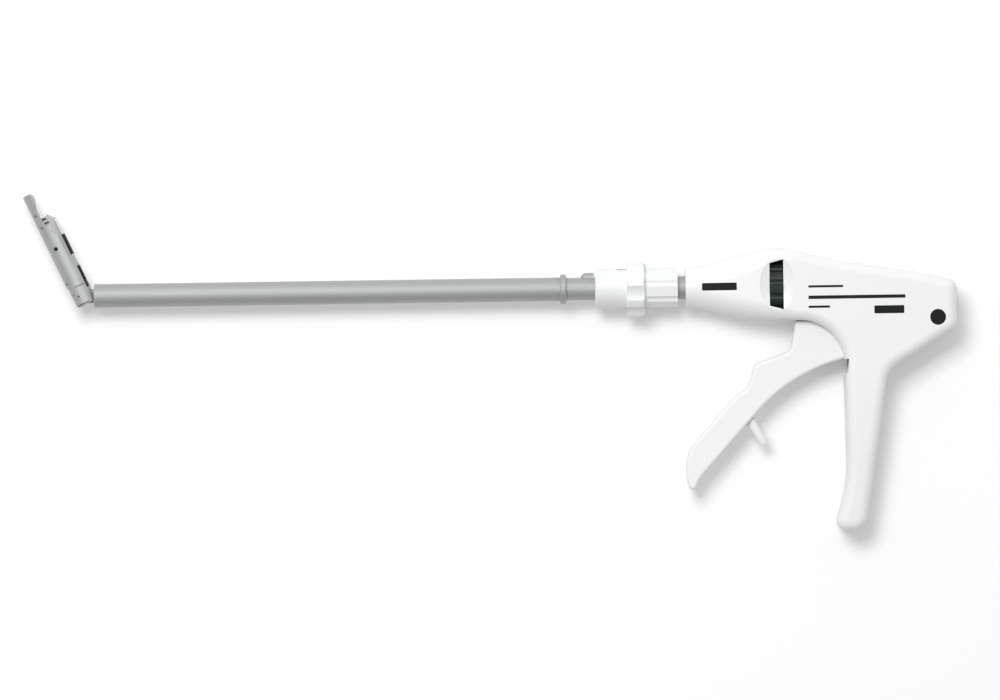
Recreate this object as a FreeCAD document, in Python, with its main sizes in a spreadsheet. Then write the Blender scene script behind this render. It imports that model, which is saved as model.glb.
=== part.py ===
import FreeCAD, Part
import math
import os

import Sketcher

# An endoscopic hernia stapler, in millimetres.
# The shaft's axis is the X axis, with the handle towards +X and the tip towards -X.
# +Y points away from the grip, and +Z is the left side, which faces up when the stapler lies down.
# The origin is on the shaft's axis, at the front face of the stop ring.
# The tip is drawn bent, as the stapler is left when it has been used.

doc = FreeCAD.newDocument("hernia_stapler")
sheet = doc.addObject("Spreadsheet::Sheet", "Sizes")


# Sizes that know their formula
class Size:
    """A number together with the sheet formula that it comes from."""

    def __init__(self, value, formula):
        self.value = value
        self.formula = formula

    def _join(self, other, sign, result):
        return Size(result, "(" + self.formula + " " + sign + " " + size_of(other).formula + ")")

    def __add__(self, other):
        return self._join(other, "+", self.value + size_of(other).value)

    def __sub__(self, other):
        return self._join(other, "-", self.value - size_of(other).value)

    def __mul__(self, other):
        return self._join(other, "*", self.value * size_of(other).value)

    def __truediv__(self, other):
        return self._join(other, "/", self.value / size_of(other).value)

    def __neg__(self):
        return Size(-self.value, "(-1 * " + self.formula + ")")

    def __radd__(self, other):
        return size_of(other) + self

    def __rsub__(self, other):
        return size_of(other) - self

    def __rmul__(self, other):
        return size_of(other) * self


def size_of(number):
    if isinstance(number, Size):
        return number
    return Size(float(number), repr(float(number)))


def cos_of(angle):
    return Size(math.cos(math.radians(angle.value)), "cos(" + angle.formula + " * 1 deg)")


def root_of(size):
    return Size(math.sqrt(size.value), "sqrt(" + size.formula + ")")


def sin_of(angle):
    return Size(math.sin(math.radians(angle.value)), "sin(" + angle.formula + " * 1 deg)")


def bind(thing, prop, size):
    """Give a property its value, and its formula where it has one."""
    size = size_of(size)
    if prop == "Occurrences":
        setattr(thing, prop, round(size.value))
    elif "." not in prop:
        setattr(thing, prop, size.value)
    if "Sizes." in size.formula:
        thing.setExpression(prop, size.formula)


# Driving dimensions, in millimetres and degrees
SIZES = {
    # Shaft sizes
    "tube_radius": 6.0,
    "tube_wall": 0.8,
    "pivot_reach": 242.3,
    "tube_end_gap": 5.8,
    "tube_rear": 123.0,
    "seat_step": 0.25,
    "running_gap": 0.06,
    "free_gap": 0.3,
    "ring_width": 3.0,
    "ring_radius": 7.5,
    "key_front": 10.6,
    "key_length": 6.6,
    "key_width": 5.0,
    "key_height": 2.1,
    # Collar sizes
    "collar_front": 17.7,
    "collar_radius": 10.2,
    "flange_front": 33.7,
    "flange_rear": 42.6,
    "flange_radius": 14.6,
    "flange_hollow_radius": 9.0,
    "flange_hollow_depth": 1.3,
    "collar_rear": 59.5,
    "flute_count": 8,
    "rib_half": 2.5,
    "rib_height": 0.3,
    "lobe_turn": 10.7,
    "collar_shoulder_radius": 12.4,
    "collar_travel": 3.8,
    "collar_pin_place": 38.0,
    "collar_pin_radius": 1.0,
    "ramp_length": 5.2,
    "ramp_half": 4.6,
    # Rods in the shaft
    "rod_radius": 1.5,
    "rod_front_gap": 6.0,
    "link_radius": 0.8,
    "link_offset": 3.5,
    "plug_length": 5.0,
    "rod_shoulder_place": 92.0,
    "rod_shoulder_width": 3.0,
    "spring_seat_place": 66.0,
    "spring_seat_width": 3.0,
    "spring_turns": 6,
    "spring_wire": 0.6,
    "seal_place": 21.0,
    "seal_width": 4.0,
    "guide_width": 4.0,
    "guide_place": 72.0,
    "guide_inset": 11.5,
    # Rotation knob
    "knob_front": 105.9,
    "knob_width": 7.0,
    "knob_radius": 14.5,
    "knob_lobes": 13,
    "knob_notch_radius": 2.0,
    "knob_key_length": 4.0,
    "key_sink": 0.3,
    "clip_depth": 0.3,
    # Handle sizes
    "nose_front": 63.5,
    "nose_radius": 10.2,
    "side_half": 15.0,
    "wall": 2.2,
    "edge_round": 5.0,
    "peak_place": 109.0,
    "peak_top": 19.4,
    "body_start": 118.0,
    "body_top": 18.4,
    "body_bottom": 17.3,
    "back_place": 200.7,
    "grip_foot": 124.7,
    "grip_bend": 24.7,
    "grip_foot_half": 11.5,
    "grip_front": 143.3,
    "palm_place": 164.1,
    "bushing_radius": 8.0,
    "nose_bushing_length": 6.5,
    "nose_lip": 1.2,
    "rib_front": 115.4,
    "rib_width": 4.4,
    "scoop_reach": 10.0,
    "scoop_depth": 2.0,
    "scoop_half_width": 9.3,
    "scoop_half_height": 13.6,
    "window_half": 10.8,
    "window_rear_half": 12.7,
    "mouth_top": -37.4,
    "mouth_drop": 7.2,
    "window_lift": 0.8,
    # Trigger sizes
    "pivot_x": 130.0,
    "pivot_y": 10.0,
    "pivot_pin_radius": 2.0,
    "hub_half": 5.0,
    "trigger_half": 6.0,
    "trigger_round": 1.5,
    "peg_radius": 2.6,
    "peg_end_radius": 2.2,
    "peg_length": 15.3,
    "spool_groove": 3.6,
    "spool_rim": 1.6,
    "spool_radius": 4.9,
    "spool_core": 2.6,
    "fork_lead": 2.7,
    "fork_pin_radius": 1.5,
    "fork_thickness": 1.8,
    "yoke_pin_radius": 1.0,
    "yoke_pin_drop": 4.2,
    "boss_radius": 3.4,
    "pivot_boss_radius": 4.5,
    "case_pin_radius": 1.6,
    "case_pin_half": 6.0,
    "slot_gap": 0.35,
    "pivot_pin_half": 11.0,
    "taper_start": 38.0,
    "neck_length": 9.0,
    "neck_radius": 11.3,
    "flare_length": 26.0,
    "flare_radius": 16.0,
    "squeeze_angle": 30.0,
    # Tip sizes, along the tip from its hinge
    "bend_angle": 65.0,
    "tip_radius": 5.9,
    "tongue_half": 2.6,
    "tongue_round": 3.5,
    "band_slot": 1.25,
    "band_width": 2.0,
    "band_thickness": 0.3,
    "band_bend": 5.0,
    "trunnion_radius": 1.1,
    "knuckle_back": 4.3,
    "knuckle_swing": 5.3,
    "knuckle_length": 17.0,
    "tongue_gap": 0.3,
    "channel_end": 52.0,
    "finger_end": 58.2,
    "finger_top": 0.8,
    "channel_wall": 1.0,
    "carrier_half": 3.4,
    "track_half": 2.3,
    "track_top": 2.2,
    "carrier_floor": 3.4,
    "carrier_deck": 1.8,
    "cover_top": 5.0,
    "bridge_length": 4.2,
    "bridge_wall": 0.6,
    "strip_half": 1.8,
    "strip_thickness": 1.1,
    "staple_count": 10,
    "staple_wire": 0.5,
    "staple_pitch": 2.0,
    "staple_width": 4.0,
    "staple_leg": 1.4,
    "staple_first": 22.5,
    "drive_pin_offset": 4.4,
    "drive_pin_radius": 0.6,
    "drive_pin_half": 3.2,
    "pusher_back": 17.6,
    "rivet_radius": 0.55,
    "rivet_sink": 0.65,
    "sight_depth": 0.6,
    "sight_hole_radius": 1.05,
}


class Sizes:
    """Holds each driving dimension under its name, bound to its own cell of the sheet."""

    def __init__(self, values):
        for row, (name, value) in enumerate(values.items(), 1):
            sheet.set("A" + str(row), str(value))
            sheet.setAlias("A" + str(row), name)
            setattr(self, name, Size(float(value), "Sizes." + name))


s = Sizes(SIZES)
doc.recompute()

# Sizes that follow from them
tube_bore = s.tube_radius - s.tube_wall
tube_front = -s.pivot_reach + s.tube_end_gap
seat_radius = s.tube_radius - s.seat_step
hub_radius = s.pivot_y - s.spool_radius - s.free_gap
case_pin_places = [(85.0, 10.4), (122.4, 12.4), (182.0, -8.0), (163.0, -33.0), (151.5, -75.0),
                   (147.5, 16.7 - s.grip_foot)]
strip_low = s.cover_top - 0.8
strip_one = (size_of(21.6), size_of(32.8))
strip_two = (size_of(3.3), size_of(15.2))
channel_end_low = size_of(-2.2)
rivet_places = [(46.8, -4.1), (39.9, -3.7)]

X_AXIS = FreeCAD.Vector(1, 0, 0)
Y_AXIS = FreeCAD.Vector(0, 1, 0)
Z_AXIS = FreeCAD.Vector(0, 0, 1)
TURN_TO_X = FreeCAD.Rotation(Y_AXIS, 90)
TURN_TO_Y = FreeCAD.Rotation(X_AXIS, -90)
NO_TURN = FreeCAD.Rotation()

pieces = []


# Helpers that make one object each
def put(thing, x, y, z, turn=NO_TURN):
    """Place an object, with each coordinate bound to its formula."""
    x, y, z = size_of(x), size_of(y), size_of(z)
    thing.Placement = FreeCAD.Placement(FreeCAD.Vector(x.value, y.value, z.value), turn)
    for letter, size in zip("xyz", (x, y, z)):
        bind(thing, "Placement.Base." + letter, size)
    return thing


def rod(name, radius, start, length, turn=TURN_TO_X, y=0, z=0):
    """A cylinder along X, or along the axis that turn names, from its start point."""
    body = doc.addObject("Part::Cylinder", name)
    bind(body, "Radius", radius)
    bind(body, "Height", length)
    return put(body, start, y, z, turn)


def cone(name, radius_a, radius_b, start, length, turn=TURN_TO_X, y=0, z=0):
    body = doc.addObject("Part::Cone", name)
    bind(body, "Radius1", radius_a)
    bind(body, "Radius2", radius_b)
    bind(body, "Height", length)
    return put(body, start, y, z, turn)


def block(name, x_low, x_high, y_low, y_high, z_low, z_high):
    body = doc.addObject("Part::Box", name)
    x_low, y_low, z_low = size_of(x_low), size_of(y_low), size_of(z_low)
    bind(body, "Length", x_high - x_low)
    bind(body, "Width", y_high - y_low)
    bind(body, "Height", z_high - z_low)
    return put(body, x_low, y_low, z_low)


def fuse(name, parts):
    body = doc.addObject("Part::MultiFuse", name)
    body.Shapes = parts
    return body


def cut(name, base, tool):
    body = doc.addObject("Part::Cut", name)
    body.Base = base
    body.Tool = tool
    return body


def common(name, parts):
    body = doc.addObject("Part::MultiCommon", name)
    body.Shapes = parts
    return body


def arc_between(start, end, radius):
    """An arc from start to end, turning left for a positive radius and right for a negative one."""
    chord = end - start
    half = chord.Length / 2
    rise = math.sqrt(max(radius * radius - half * half, 0.0))
    side = FreeCAD.Vector(-chord.y, chord.x, 0).normalize()
    if radius < 0:
        side = -side
    centre = (start + end) * 0.5 + side * rise
    first, last = (start, end) if radius > 0 else (end, start)
    angle_a = math.atan2(first.y - centre.y, first.x - centre.x)
    angle_b = math.atan2(last.y - centre.y, last.x - centre.x)
    circle = Part.Circle(centre, Z_AXIS, abs(radius))
    return Part.ArcOfCircle(circle, angle_a, angle_b)


def draw(sketch, corners):
    """Draw a closed outline. A corner is (x, y), or (x, y, radius) where an arc leads to it."""
    corners = [tuple(size_of(part) for part in corner) for corner in corners]
    ends = []
    for place, corner in enumerate(corners):
        before = corners[place - 1]
        start = FreeCAD.Vector(before[0].value, before[1].value, 0)
        end = FreeCAD.Vector(corner[0].value, corner[1].value, 0)
        if len(corner) == 3:
            edge = sketch.addGeometry(arc_between(start, end, corner[2].value), False)
            ends.append((edge, 2) if corner[2].value > 0 else (edge, 1))
            number = sketch.addConstraint(Sketcher.Constraint("Radius", edge, abs(corner[2].value)))
            if "Sizes." in corner[2].formula:
                sketch.setExpression("Constraints[" + str(number) + "]", "abs(" + corner[2].formula + ")")
        else:
            edge = sketch.addGeometry(Part.LineSegment(start, end), False)
            ends.append((edge, 2))
    for place, (edge, end) in enumerate(ends):
        following, following_end = ends[(place + 1) % len(ends)]
        sketch.addConstraint(Sketcher.Constraint("Coincident", edge, end, following, 3 - following_end))
        for kind, size in (("DistanceX", corners[place][0]), ("DistanceY", corners[place][1])):
            number = sketch.addConstraint(Sketcher.Constraint(kind, -1, 1, edge, end, size.value))
            if "Sizes." in size.formula:
                sketch.setExpression("Constraints[" + str(number) + "]", size.formula)


def draw_rounded(sketch, corners):
    """Draw a closed outline from corners (x, y, radius), each rounded by an arc tangent to both its sides."""
    corners = [tuple(size_of(part) for part in corner) for corner in corners]
    points = [FreeCAD.Vector(corner[0].value, corner[1].value, 0) for corner in corners]
    arcs = []
    for place, corner in enumerate(corners):
        here = points[place]
        back = (points[place - 1] - here).normalize()
        ahead = (points[(place + 1) % len(points)] - here).normalize()
        half_angle = back.getAngle(ahead) / 2
        radius = corner[2].value
        reach = radius / math.tan(half_angle)
        start, end = here + back * reach, here + ahead * reach
        if radius:
            left_turn = (back.x * ahead.y - back.y * ahead.x) < 0
            arcs.append((sketch.addGeometry(arc_between(start, end, radius if left_turn else -radius),
                                            False),
                         left_turn, start, end))
        else:
            arcs.append((None, True, here, here))
    lines = []
    for place, (_, _, _, end) in enumerate(arcs):
        start_next = arcs[(place + 1) % len(arcs)][2]
        lines.append(sketch.addGeometry(Part.LineSegment(end, start_next), False))
    for place, (arc, left_turn, start, end) in enumerate(arcs):
        line_in, line_out = lines[place - 1], lines[place]
        if arc is None:
            sketch.addConstraint(Sketcher.Constraint("Coincident", line_in, 2, line_out, 1))
            hold_point(sketch, line_out, 1, corners[place][0], corners[place][1])
            continue
        first, last = (1, 2) if left_turn else (2, 1)
        sketch.addConstraint(Sketcher.Constraint("Tangent", line_in, 2, arc, first))
        sketch.addConstraint(Sketcher.Constraint("Tangent", arc, last, line_out, 1))
        number = sketch.addConstraint(Sketcher.Constraint("Radius", arc, corners[place][2].value))
        if "Sizes." in corners[place][2].formula:
            sketch.setExpression("Constraints[" + str(number) + "]", corners[place][2].formula)
        corner_point = sketch.addGeometry(Part.Point(points[place]), True)
        hold_point(sketch, corner_point, 1, corners[place][0], corners[place][1])
        sketch.addConstraint(Sketcher.Constraint("PointOnObject", corner_point, 1, line_in))
        sketch.addConstraint(Sketcher.Constraint("PointOnObject", corner_point, 1, line_out))


def hold_point(sketch, thing, end, x, y):
    """Fix a point's two coordinates."""
    for kind, size in (("DistanceX", x), ("DistanceY", y)):
        number = sketch.addConstraint(Sketcher.Constraint(kind, -1, 1, thing, end, size.value))
        if "Sizes." in size.formula:
            sketch.setExpression("Constraints[" + str(number) + "]", size.formula)


def plane_of(body, role):
    return next(item for item in body.Origin.OriginFeatures if item.Role == role)


def sketch_in(body, name, role, offset=0):
    """An empty sketch on one of the body's own planes, raised by offset."""
    sketch = body.newObject("Sketcher::SketchObject", name)
    sketch.AttachmentSupport = [(plane_of(body, role), "")]
    sketch.MapMode = "FlatFace"
    offset = size_of(offset)
    sketch.AttachmentOffset = FreeCAD.Placement(FreeCAD.Vector(0, 0, offset.value), NO_TURN)
    if "Sizes." in offset.formula:
        sketch.setExpression("AttachmentOffset.Base.z", offset.formula)
    return sketch


def lathe(name, corners):
    """A piece turned about the X axis from an outline of (place along X, radius)."""
    body = doc.addObject("PartDesign::Body", name)
    sketch = sketch_in(body, name + "_outline", "XY_Plane")
    draw(sketch, corners)
    turned = body.newObject("PartDesign::Revolution", name + "_turned")
    turned.Profile = sketch
    turned.ReferenceAxis = (sketch, ["H_Axis"])
    turned.Angle = 360
    return body


def slab(name, corners, low, high, pen=draw):
    """A flat piece with its outline in the X-Y plane, from height low to height high."""
    body = doc.addObject("PartDesign::Body", name)
    sketch = sketch_in(body, name + "_outline", "XY_Plane", low)
    pen(sketch, corners)
    pad = body.newObject("PartDesign::Pad", name + "_pad")
    pad.Profile = sketch
    bind(pad, "Length", size_of(high) - low)
    return body


def piece(thing, node):
    """Take a finished object as a sub-part, under its node's name."""
    thing.Label = node
    pieces.append(thing)
    return thing


def tip_piece(thing, node):
    """Take a finished object, drawn straight ahead of the hinge, and bend it with the tip."""
    put(thing, -s.pivot_reach, 0, 0, FreeCAD.Rotation(Z_AXIS, -s.bend_angle.value))
    thing.setExpression("Placement.Rotation.Angle", (-s.bend_angle).formula)
    return piece(thing, node)


# Shaft tube, open at both ends, with the slot that the collar's pin runs in
def make_shaft_tube():
    outside = fuse("tube_outside", [rod("tube_front_part", s.tube_radius, tube_front, -tube_front),
                                    rod("tube_rear_part", seat_radius, -1, s.tube_rear + 1)])
    inside = rod("tube_inside", tube_bore, tube_front, s.tube_rear - tube_front)
    slot_half = s.collar_pin_radius + s.free_gap
    slot = block("collar_slot", s.collar_pin_place - slot_half,
                 s.collar_pin_place + s.collar_travel + slot_half,
                 -s.tube_radius - 1, size_of(-3), -slot_half, slot_half)
    groove = clip_ring("clip_groove", seat_radius - s.clip_depth, seat_radius + 1, 0)
    keyway = knob_key_block("tube_keyway", 0)
    piece(cut("tube", outside, fuse("tube_cuts", [inside, slot, groove, keyway])), "shaft_tube")


def clip_ring(name, inner, outer, gap):
    """A ring at the clip's place behind the rear rib."""
    start = s.rib_front + s.rib_width + 0.3 + gap
    length = 0.9 - 2 * size_of(gap)
    return cut(name, rod(name + "_outer", outer, start, length), rod(name + "_inner", inner, start, length))


def ring(name, inner, outer, start, length):
    """A plain ring about the shaft's axis."""
    return cut(name, rod(name + "_outer", outer, start, length), rod(name + "_bore", inner, start, length))


def make_stop_ring():
    chamfer = 0.4
    outline = [(0, seat_radius), (s.ring_width, seat_radius), (s.ring_width, s.ring_radius - chamfer),
               (s.ring_width - chamfer, s.ring_radius), (chamfer, s.ring_radius),
               (0, s.ring_radius - chamfer)]
    piece(lathe("stop_ring_body", outline), "stop_ring")


def make_guide_key():
    """A pressed boss on the tube's back, round at its front."""
    length = rod("key_swell", s.key_width / 2, s.key_front + s.key_width / 2,
                 s.key_length - s.key_width / 2, TURN_TO_X, s.tube_radius + s.key_height - s.key_width / 2)
    front = doc.addObject("Part::Sphere", "key_front_round")
    bind(front, "Radius", s.key_width / 2)
    put(front, s.key_front + s.key_width / 2, s.tube_radius + s.key_height - s.key_width / 2, 0)
    tube = rod("key_seat", seat_radius, s.key_front - 1, s.key_length + 2)
    piece(cut("key", fuse("key_blank", [length, front]), tube), "guide_key")


def make_retaining_clip():
    piece(clip_ring("clip", seat_radius - s.clip_depth, s.bushing_radius, 0.05), "retaining_clip")


def make_rotation_knob():
    """A wheel with a scalloped rim, bored for the tube."""
    body = doc.addObject("PartDesign::Body", "knob")
    sketch = sketch_in(body, "knob_outline", "YZ_Plane", s.knob_front + s.free_gap)
    rim = sketch.addGeometry(Part.Circle(FreeCAD.Vector(0, 0, 0), Z_AXIS, s.knob_radius.value), False)
    bore = sketch.addGeometry(Part.Circle(FreeCAD.Vector(0, 0, 0), Z_AXIS, seat_radius.value), False)
    for circle, size in ((rim, s.knob_radius), (bore, seat_radius)):
        sketch.addConstraint(Sketcher.Constraint("Coincident", circle, 3, -1, 1))
        number = sketch.addConstraint(Sketcher.Constraint("Radius", circle, size.value))
        sketch.setExpression("Constraints[" + str(number) + "]", size.formula)
    pad = body.newObject("PartDesign::Pad", "knob_pad")
    pad.Profile = sketch
    bind(pad, "Length", s.knob_width - 2 * s.free_gap)
    notch = sketch_in(body, "knob_notch", "YZ_Plane", s.knob_front)
    centre = s.knob_radius + 0.55 * s.knob_notch_radius
    hollow = notch.addGeometry(Part.Circle(FreeCAD.Vector(centre.value, 0, 0), Z_AXIS,
                                           s.knob_notch_radius.value), False)
    for kind, size in (("DistanceX", centre), ("Radius", s.knob_notch_radius)):
        if kind == "Radius":
            number = notch.addConstraint(Sketcher.Constraint(kind, hollow, size.value))
        else:
            number = notch.addConstraint(Sketcher.Constraint(kind, -1, 1, hollow, 3, size.value))
        notch.setExpression("Constraints[" + str(number) + "]", size.formula)
    notch.addConstraint(Sketcher.Constraint("PointOnObject", hollow, 3, -1))
    doc.recompute()
    pocket = body.newObject("PartDesign::Pocket", "knob_notch_cut")
    pocket.Profile = notch
    pocket.Type = "ThroughAll"
    pocket.Midplane = True
    doc.recompute()
    pattern = body.newObject("PartDesign::PolarPattern", "knob_scallops")
    pattern.Originals = [pocket]
    pattern.Axis = (plane_of(body, "X_Axis"), [""])
    pattern.Angle = 360
    bind(pattern, "Occurrences", s.knob_lobes)
    body.Tip = pattern
    keyway = knob_key_block("knob_keyway", s.running_gap)
    piece(cut("knob_cut", body, keyway), "rotation_knob")


def knob_key_block(name, gap):
    """The key sits half in the tube and half in the knob's bore."""
    middle = s.knob_front + s.knob_width / 2
    half = s.knob_key_length / 2
    return block(name, middle - half, middle + half, seat_radius - s.key_sink, seat_radius + 1.2 + gap,
                 -0.8 - size_of(gap), 0.8 + size_of(gap))



def make_knob_key():
    piece(knob_key_block("key_bar", 0), "knob_key")


def make_tongue_plug():
    """The tube's end piece: a plug in the tube and two cheeks that reach forward to the hinge."""
    plug = rod("plug_round", tube_bore, tube_front, s.plug_length)
    cheeks = slab("plug_cheeks", [(tube_front + 1, -s.tongue_round), (tube_front + 1, s.tongue_round),
                                  (-s.pivot_reach, s.tongue_round),
                                  (-s.pivot_reach, -s.tongue_round, s.tongue_round * 1.001)],
                  -s.tongue_half, s.tongue_half)
    slot = block("cheek_slot", -s.pivot_reach - s.tongue_round - 1, tube_front, -s.tongue_round - 1,
                 s.tongue_round + 1, -s.band_slot, s.band_slot)
    passage = block("plug_passage", tube_front - 1, tube_front + s.plug_length + 1, -1.9, 1.9, -s.band_slot,
                    s.band_slot)
    link_way = rod("plug_link_way", s.link_radius + s.running_gap, tube_front - 1, s.plug_length + 2,
                   TURN_TO_X, -s.link_offset)
    hinge = rod("cheek_bore", s.trunnion_radius + s.running_gap, -s.pivot_reach, 2 * s.tongue_half + 2,
                NO_TURN, 0, -s.tongue_half - 1)
    piece(cut("plug", fuse("plug_blank", [plug, cheeks]),
              fuse("plug_cuts", [slot, passage, link_way, hinge])),
          "tongue_plug")


def rod_disc(name, start, width, bore_gap):
    """A disc that fills the tube, with a way through for each of the two rods."""
    disc = rod(name + "_disc", tube_bore, start, width)
    rod_way = rod(name + "_rod_way", s.rod_radius + bore_gap, start - 1, width + 2)
    link_way = rod(name + "_link_way", s.link_radius + bore_gap, start - 1, width + 2, TURN_TO_X,
                   -s.link_offset)
    return cut(name, disc, fuse(name + "_ways", [rod_way, link_way]))


def make_rod_guides():
    front = tube_front + s.plug_length + s.guide_inset
    pitch = (-s.guide_place - front) / 2
    discs = [rod_disc("guide_" + str(count), front + pitch * count, s.guide_width, s.running_gap)
             for count in range(3)]
    group = doc.addObject("Part::Compound", "guides")
    group.Links = discs
    piece(group, "rod_guides")


def make_shaft_seal():
    piece(rod_disc("seal", s.seal_place, s.seal_width, s.running_gap), "shaft_seal")


def make_spring_seat():
    piece(ring("seat", s.rod_radius + s.running_gap, tube_bore, s.spring_seat_place, s.spring_seat_width),
          "spring_seat")


def make_rod_return_spring():
    """A coil between the seat in the tube and the shoulder on the rod."""
    start = s.spring_seat_place + s.spring_seat_width + s.spring_wire + 0.05
    end = s.rod_shoulder_place - s.spring_wire - 0.05
    coil_radius = tube_bore - s.spring_wire - 0.35
    helix = doc.addObject("Part::Helix", "spring_path")
    bind(helix, "Radius", coil_radius)
    bind(helix, "Pitch", (end - start) / s.spring_turns)
    bind(helix, "Height", end - start)
    put(helix, start, 0, 0, TURN_TO_X)
    wire = doc.addObject("Part::RegularPolygon", "spring_section")
    wire.Polygon = 6
    bind(wire, "Circumradius", s.spring_wire)
    put(wire, start, 0, -coil_radius, FreeCAD.Rotation(X_AXIS, 90))
    coil = doc.addObject("Part::Sweep", "spring_coil")
    coil.Sections = [wire]
    doc.recompute()
    coil.Spine = (helix, ["Edge" + str(count + 1) for count in range(len(helix.Shape.Edges))])
    coil.Solid = True
    coil.Frenet = True
    piece(coil, "rod_return_spring")


# Collar that slides on the tube
def make_articulation_collar():
    """A turned sleeve with a fluted finger flange, ribs behind it and a ramp on its back."""
    bore = seat_radius + s.running_gap
    rear_radius = s.collar_radius - s.rib_height
    outline = [(s.collar_front, bore), (s.collar_rear, bore), (s.collar_rear, rear_radius - 0.5),
               (s.collar_rear - 0.5, rear_radius), (s.flange_rear, rear_radius),
               (s.flange_rear, s.flange_radius - 0.6),
               (s.flange_rear - 0.6, s.flange_radius), (s.flange_front + 0.6, s.flange_radius),
               (s.flange_front, s.flange_radius - 0.6), (s.flange_front, s.collar_radius),
               (s.collar_front + 0.8, s.collar_radius), (s.collar_front, s.collar_radius - 0.8)]
    body = lathe("sleeve", outline)
    doc.recompute()
    rib = sketch_in(body, "sleeve_rib", "YZ_Plane", s.flange_rear - 1)
    draw(rib, [(rear_radius - 2, -s.rib_half - 2.2), (s.collar_radius, -s.rib_half),
               (s.collar_radius, s.rib_half), (rear_radius - 2, s.rib_half + 2.2)])
    rib_pad = body.newObject("PartDesign::Pad", "sleeve_rib_pad")
    rib_pad.Profile = rib
    bind(rib_pad, "Length", s.collar_rear - s.flange_rear + 1)
    ribs = round_pattern(body, "sleeve_ribs", rib_pad, s.flute_count)
    flute = sketch_in(body, "sleeve_flute", "YZ_Plane", s.flange_front - 1)
    centre = s.flange_radius - s.flange_hollow_depth + s.flange_hollow_radius
    circle = flute.addGeometry(Part.Circle(FreeCAD.Vector(0, centre.value, 0), Z_AXIS,
                                           s.flange_hollow_radius.value), False)
    hold_circle(flute, circle, size_of(0), centre, s.flange_hollow_radius)
    pocket = body.newObject("PartDesign::Pocket", "sleeve_flute_cut")
    pocket.Profile = flute
    bind(pocket, "Length", s.flange_rear - s.flange_front + 2)
    pocket.Reversed = True
    body.Tip = pocket
    round_pattern(body, "sleeve_flutes", pocket, s.flute_count)
    put(body, 0, 0, 0, FreeCAD.Rotation(X_AXIS, s.lobe_turn.value))
    body.setExpression("Placement.Rotation.Angle", s.lobe_turn.formula)
    ramp = slab("sleeve_ramp", [(s.flange_front - s.ramp_length, s.collar_radius - 0.6),
                                (s.flange_front - s.ramp_length + 1.5, s.collar_radius + 0.7),
                                (s.flange_front - 0.7, s.flange_radius - 0.3),
                                (s.flange_front + 1, s.flange_radius - 0.3),
                                (s.flange_rear, s.collar_shoulder_radius),
                                (s.collar_rear - 0.2, s.collar_radius),
                                (s.collar_rear - 0.2, s.collar_radius - 0.6)],
                -s.ramp_half, s.ramp_half)
    pin_hole = rod("sleeve_pin_hole", s.collar_pin_radius, s.collar_pin_place, s.flange_radius, TURN_TO_Y,
                   -s.flange_radius - 1)
    piece(cut("sleeve_drilled", fuse("sleeve_whole", [body, ramp]), pin_hole), "articulation_collar")


def make_collar_pin():
    """A cross pin from the flange, through the tube's slot, into the articulation rod's eye."""
    outer_end = s.flange_radius - 2.2
    inner_end = s.link_offset - 1.1
    piece(rod("cross_pin", s.collar_pin_radius, s.collar_pin_place, outer_end - inner_end, TURN_TO_Y,
              -outer_end),
          "collar_pin")


def make_articulation_rod():
    """A thin rod along the tube's wall, with an eye for the collar's pin."""
    front = tube_front + 1.2
    eye_half = s.collar_pin_radius + 1.5
    eye_front = s.collar_pin_place - eye_half
    wire = rod("link_wire", s.link_radius, front, eye_front - front + 0.5, TURN_TO_X, -s.link_offset)
    eye = block("link_eye", eye_front, s.collar_pin_place + eye_half, -s.link_offset - 1.4,
                -s.link_offset + 1.4, size_of(-1.5), size_of(1.5))
    hole = rod("link_eye_hole", s.collar_pin_radius, s.collar_pin_place, 6, TURN_TO_Y, -s.link_offset - 3)
    piece(cut("link", fuse("link_blank", [wire, eye]), hole), "articulation_rod")


def hold_circle(sketch, circle, x, y, radius):
    """Fix a circle's centre and radius."""
    for kind, size in (("DistanceX", x), ("DistanceY", y)):
        number = sketch.addConstraint(Sketcher.Constraint(kind, -1, 1, circle, 3, size.value))
        if "Sizes." in size.formula:
            sketch.setExpression("Constraints[" + str(number) + "]", size.formula)
    number = sketch.addConstraint(Sketcher.Constraint("Radius", circle, radius.value))
    sketch.setExpression("Constraints[" + str(number) + "]", radius.formula)


def round_pattern(body, name, feature, count):
    """Repeat a feature about the X axis."""
    doc.recompute()
    pattern = body.newObject("PartDesign::PolarPattern", name)
    pattern.Originals = [feature]
    pattern.Axis = (plane_of(body, "X_Axis"), [""])
    pattern.Angle = 360
    bind(pattern, "Occurrences", count)
    body.Tip = pattern
    return pattern


# Firing train
rod_front = tube_front + s.plug_length + s.rod_front_gap
groove_middle = s.pivot_x + s.fork_lead
spool_front = groove_middle - s.spool_groove / 2 - s.spool_rim
spool_rear = groove_middle + s.spool_groove / 2 + s.spool_rim


def make_firing_rod():
    """A long rod with the shoulder that the return spring pushes on."""
    shoulder_end = s.rod_shoulder_place + s.rod_shoulder_width
    shoulder_radius = tube_bore - 0.3
    piece(lathe("long_rod", [(rod_front, 0), (spool_rear, 0), (spool_rear, s.rod_radius),
                             (shoulder_end, s.rod_radius),
                             (shoulder_end, shoulder_radius), (s.rod_shoulder_place, shoulder_radius),
                             (s.rod_shoulder_place, s.rod_radius), (rod_front, s.rod_radius)]),
                             "firing_rod")


def make_rod_spool():
    """A grooved wheel at the rod's rear end, so that the shaft can turn while the fork holds it."""
    rims = spool_front + s.spool_rim
    piece(lathe("spool", [(spool_front, s.rod_radius), (spool_rear, s.rod_radius),
                          (spool_rear, s.spool_radius), (spool_rear - s.spool_rim, s.spool_radius),
                          (spool_rear - s.spool_rim, s.spool_core),
                          (rims, s.spool_core), (rims, s.spool_radius), (spool_front, s.spool_radius)]),
                          "rod_spool")


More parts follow.
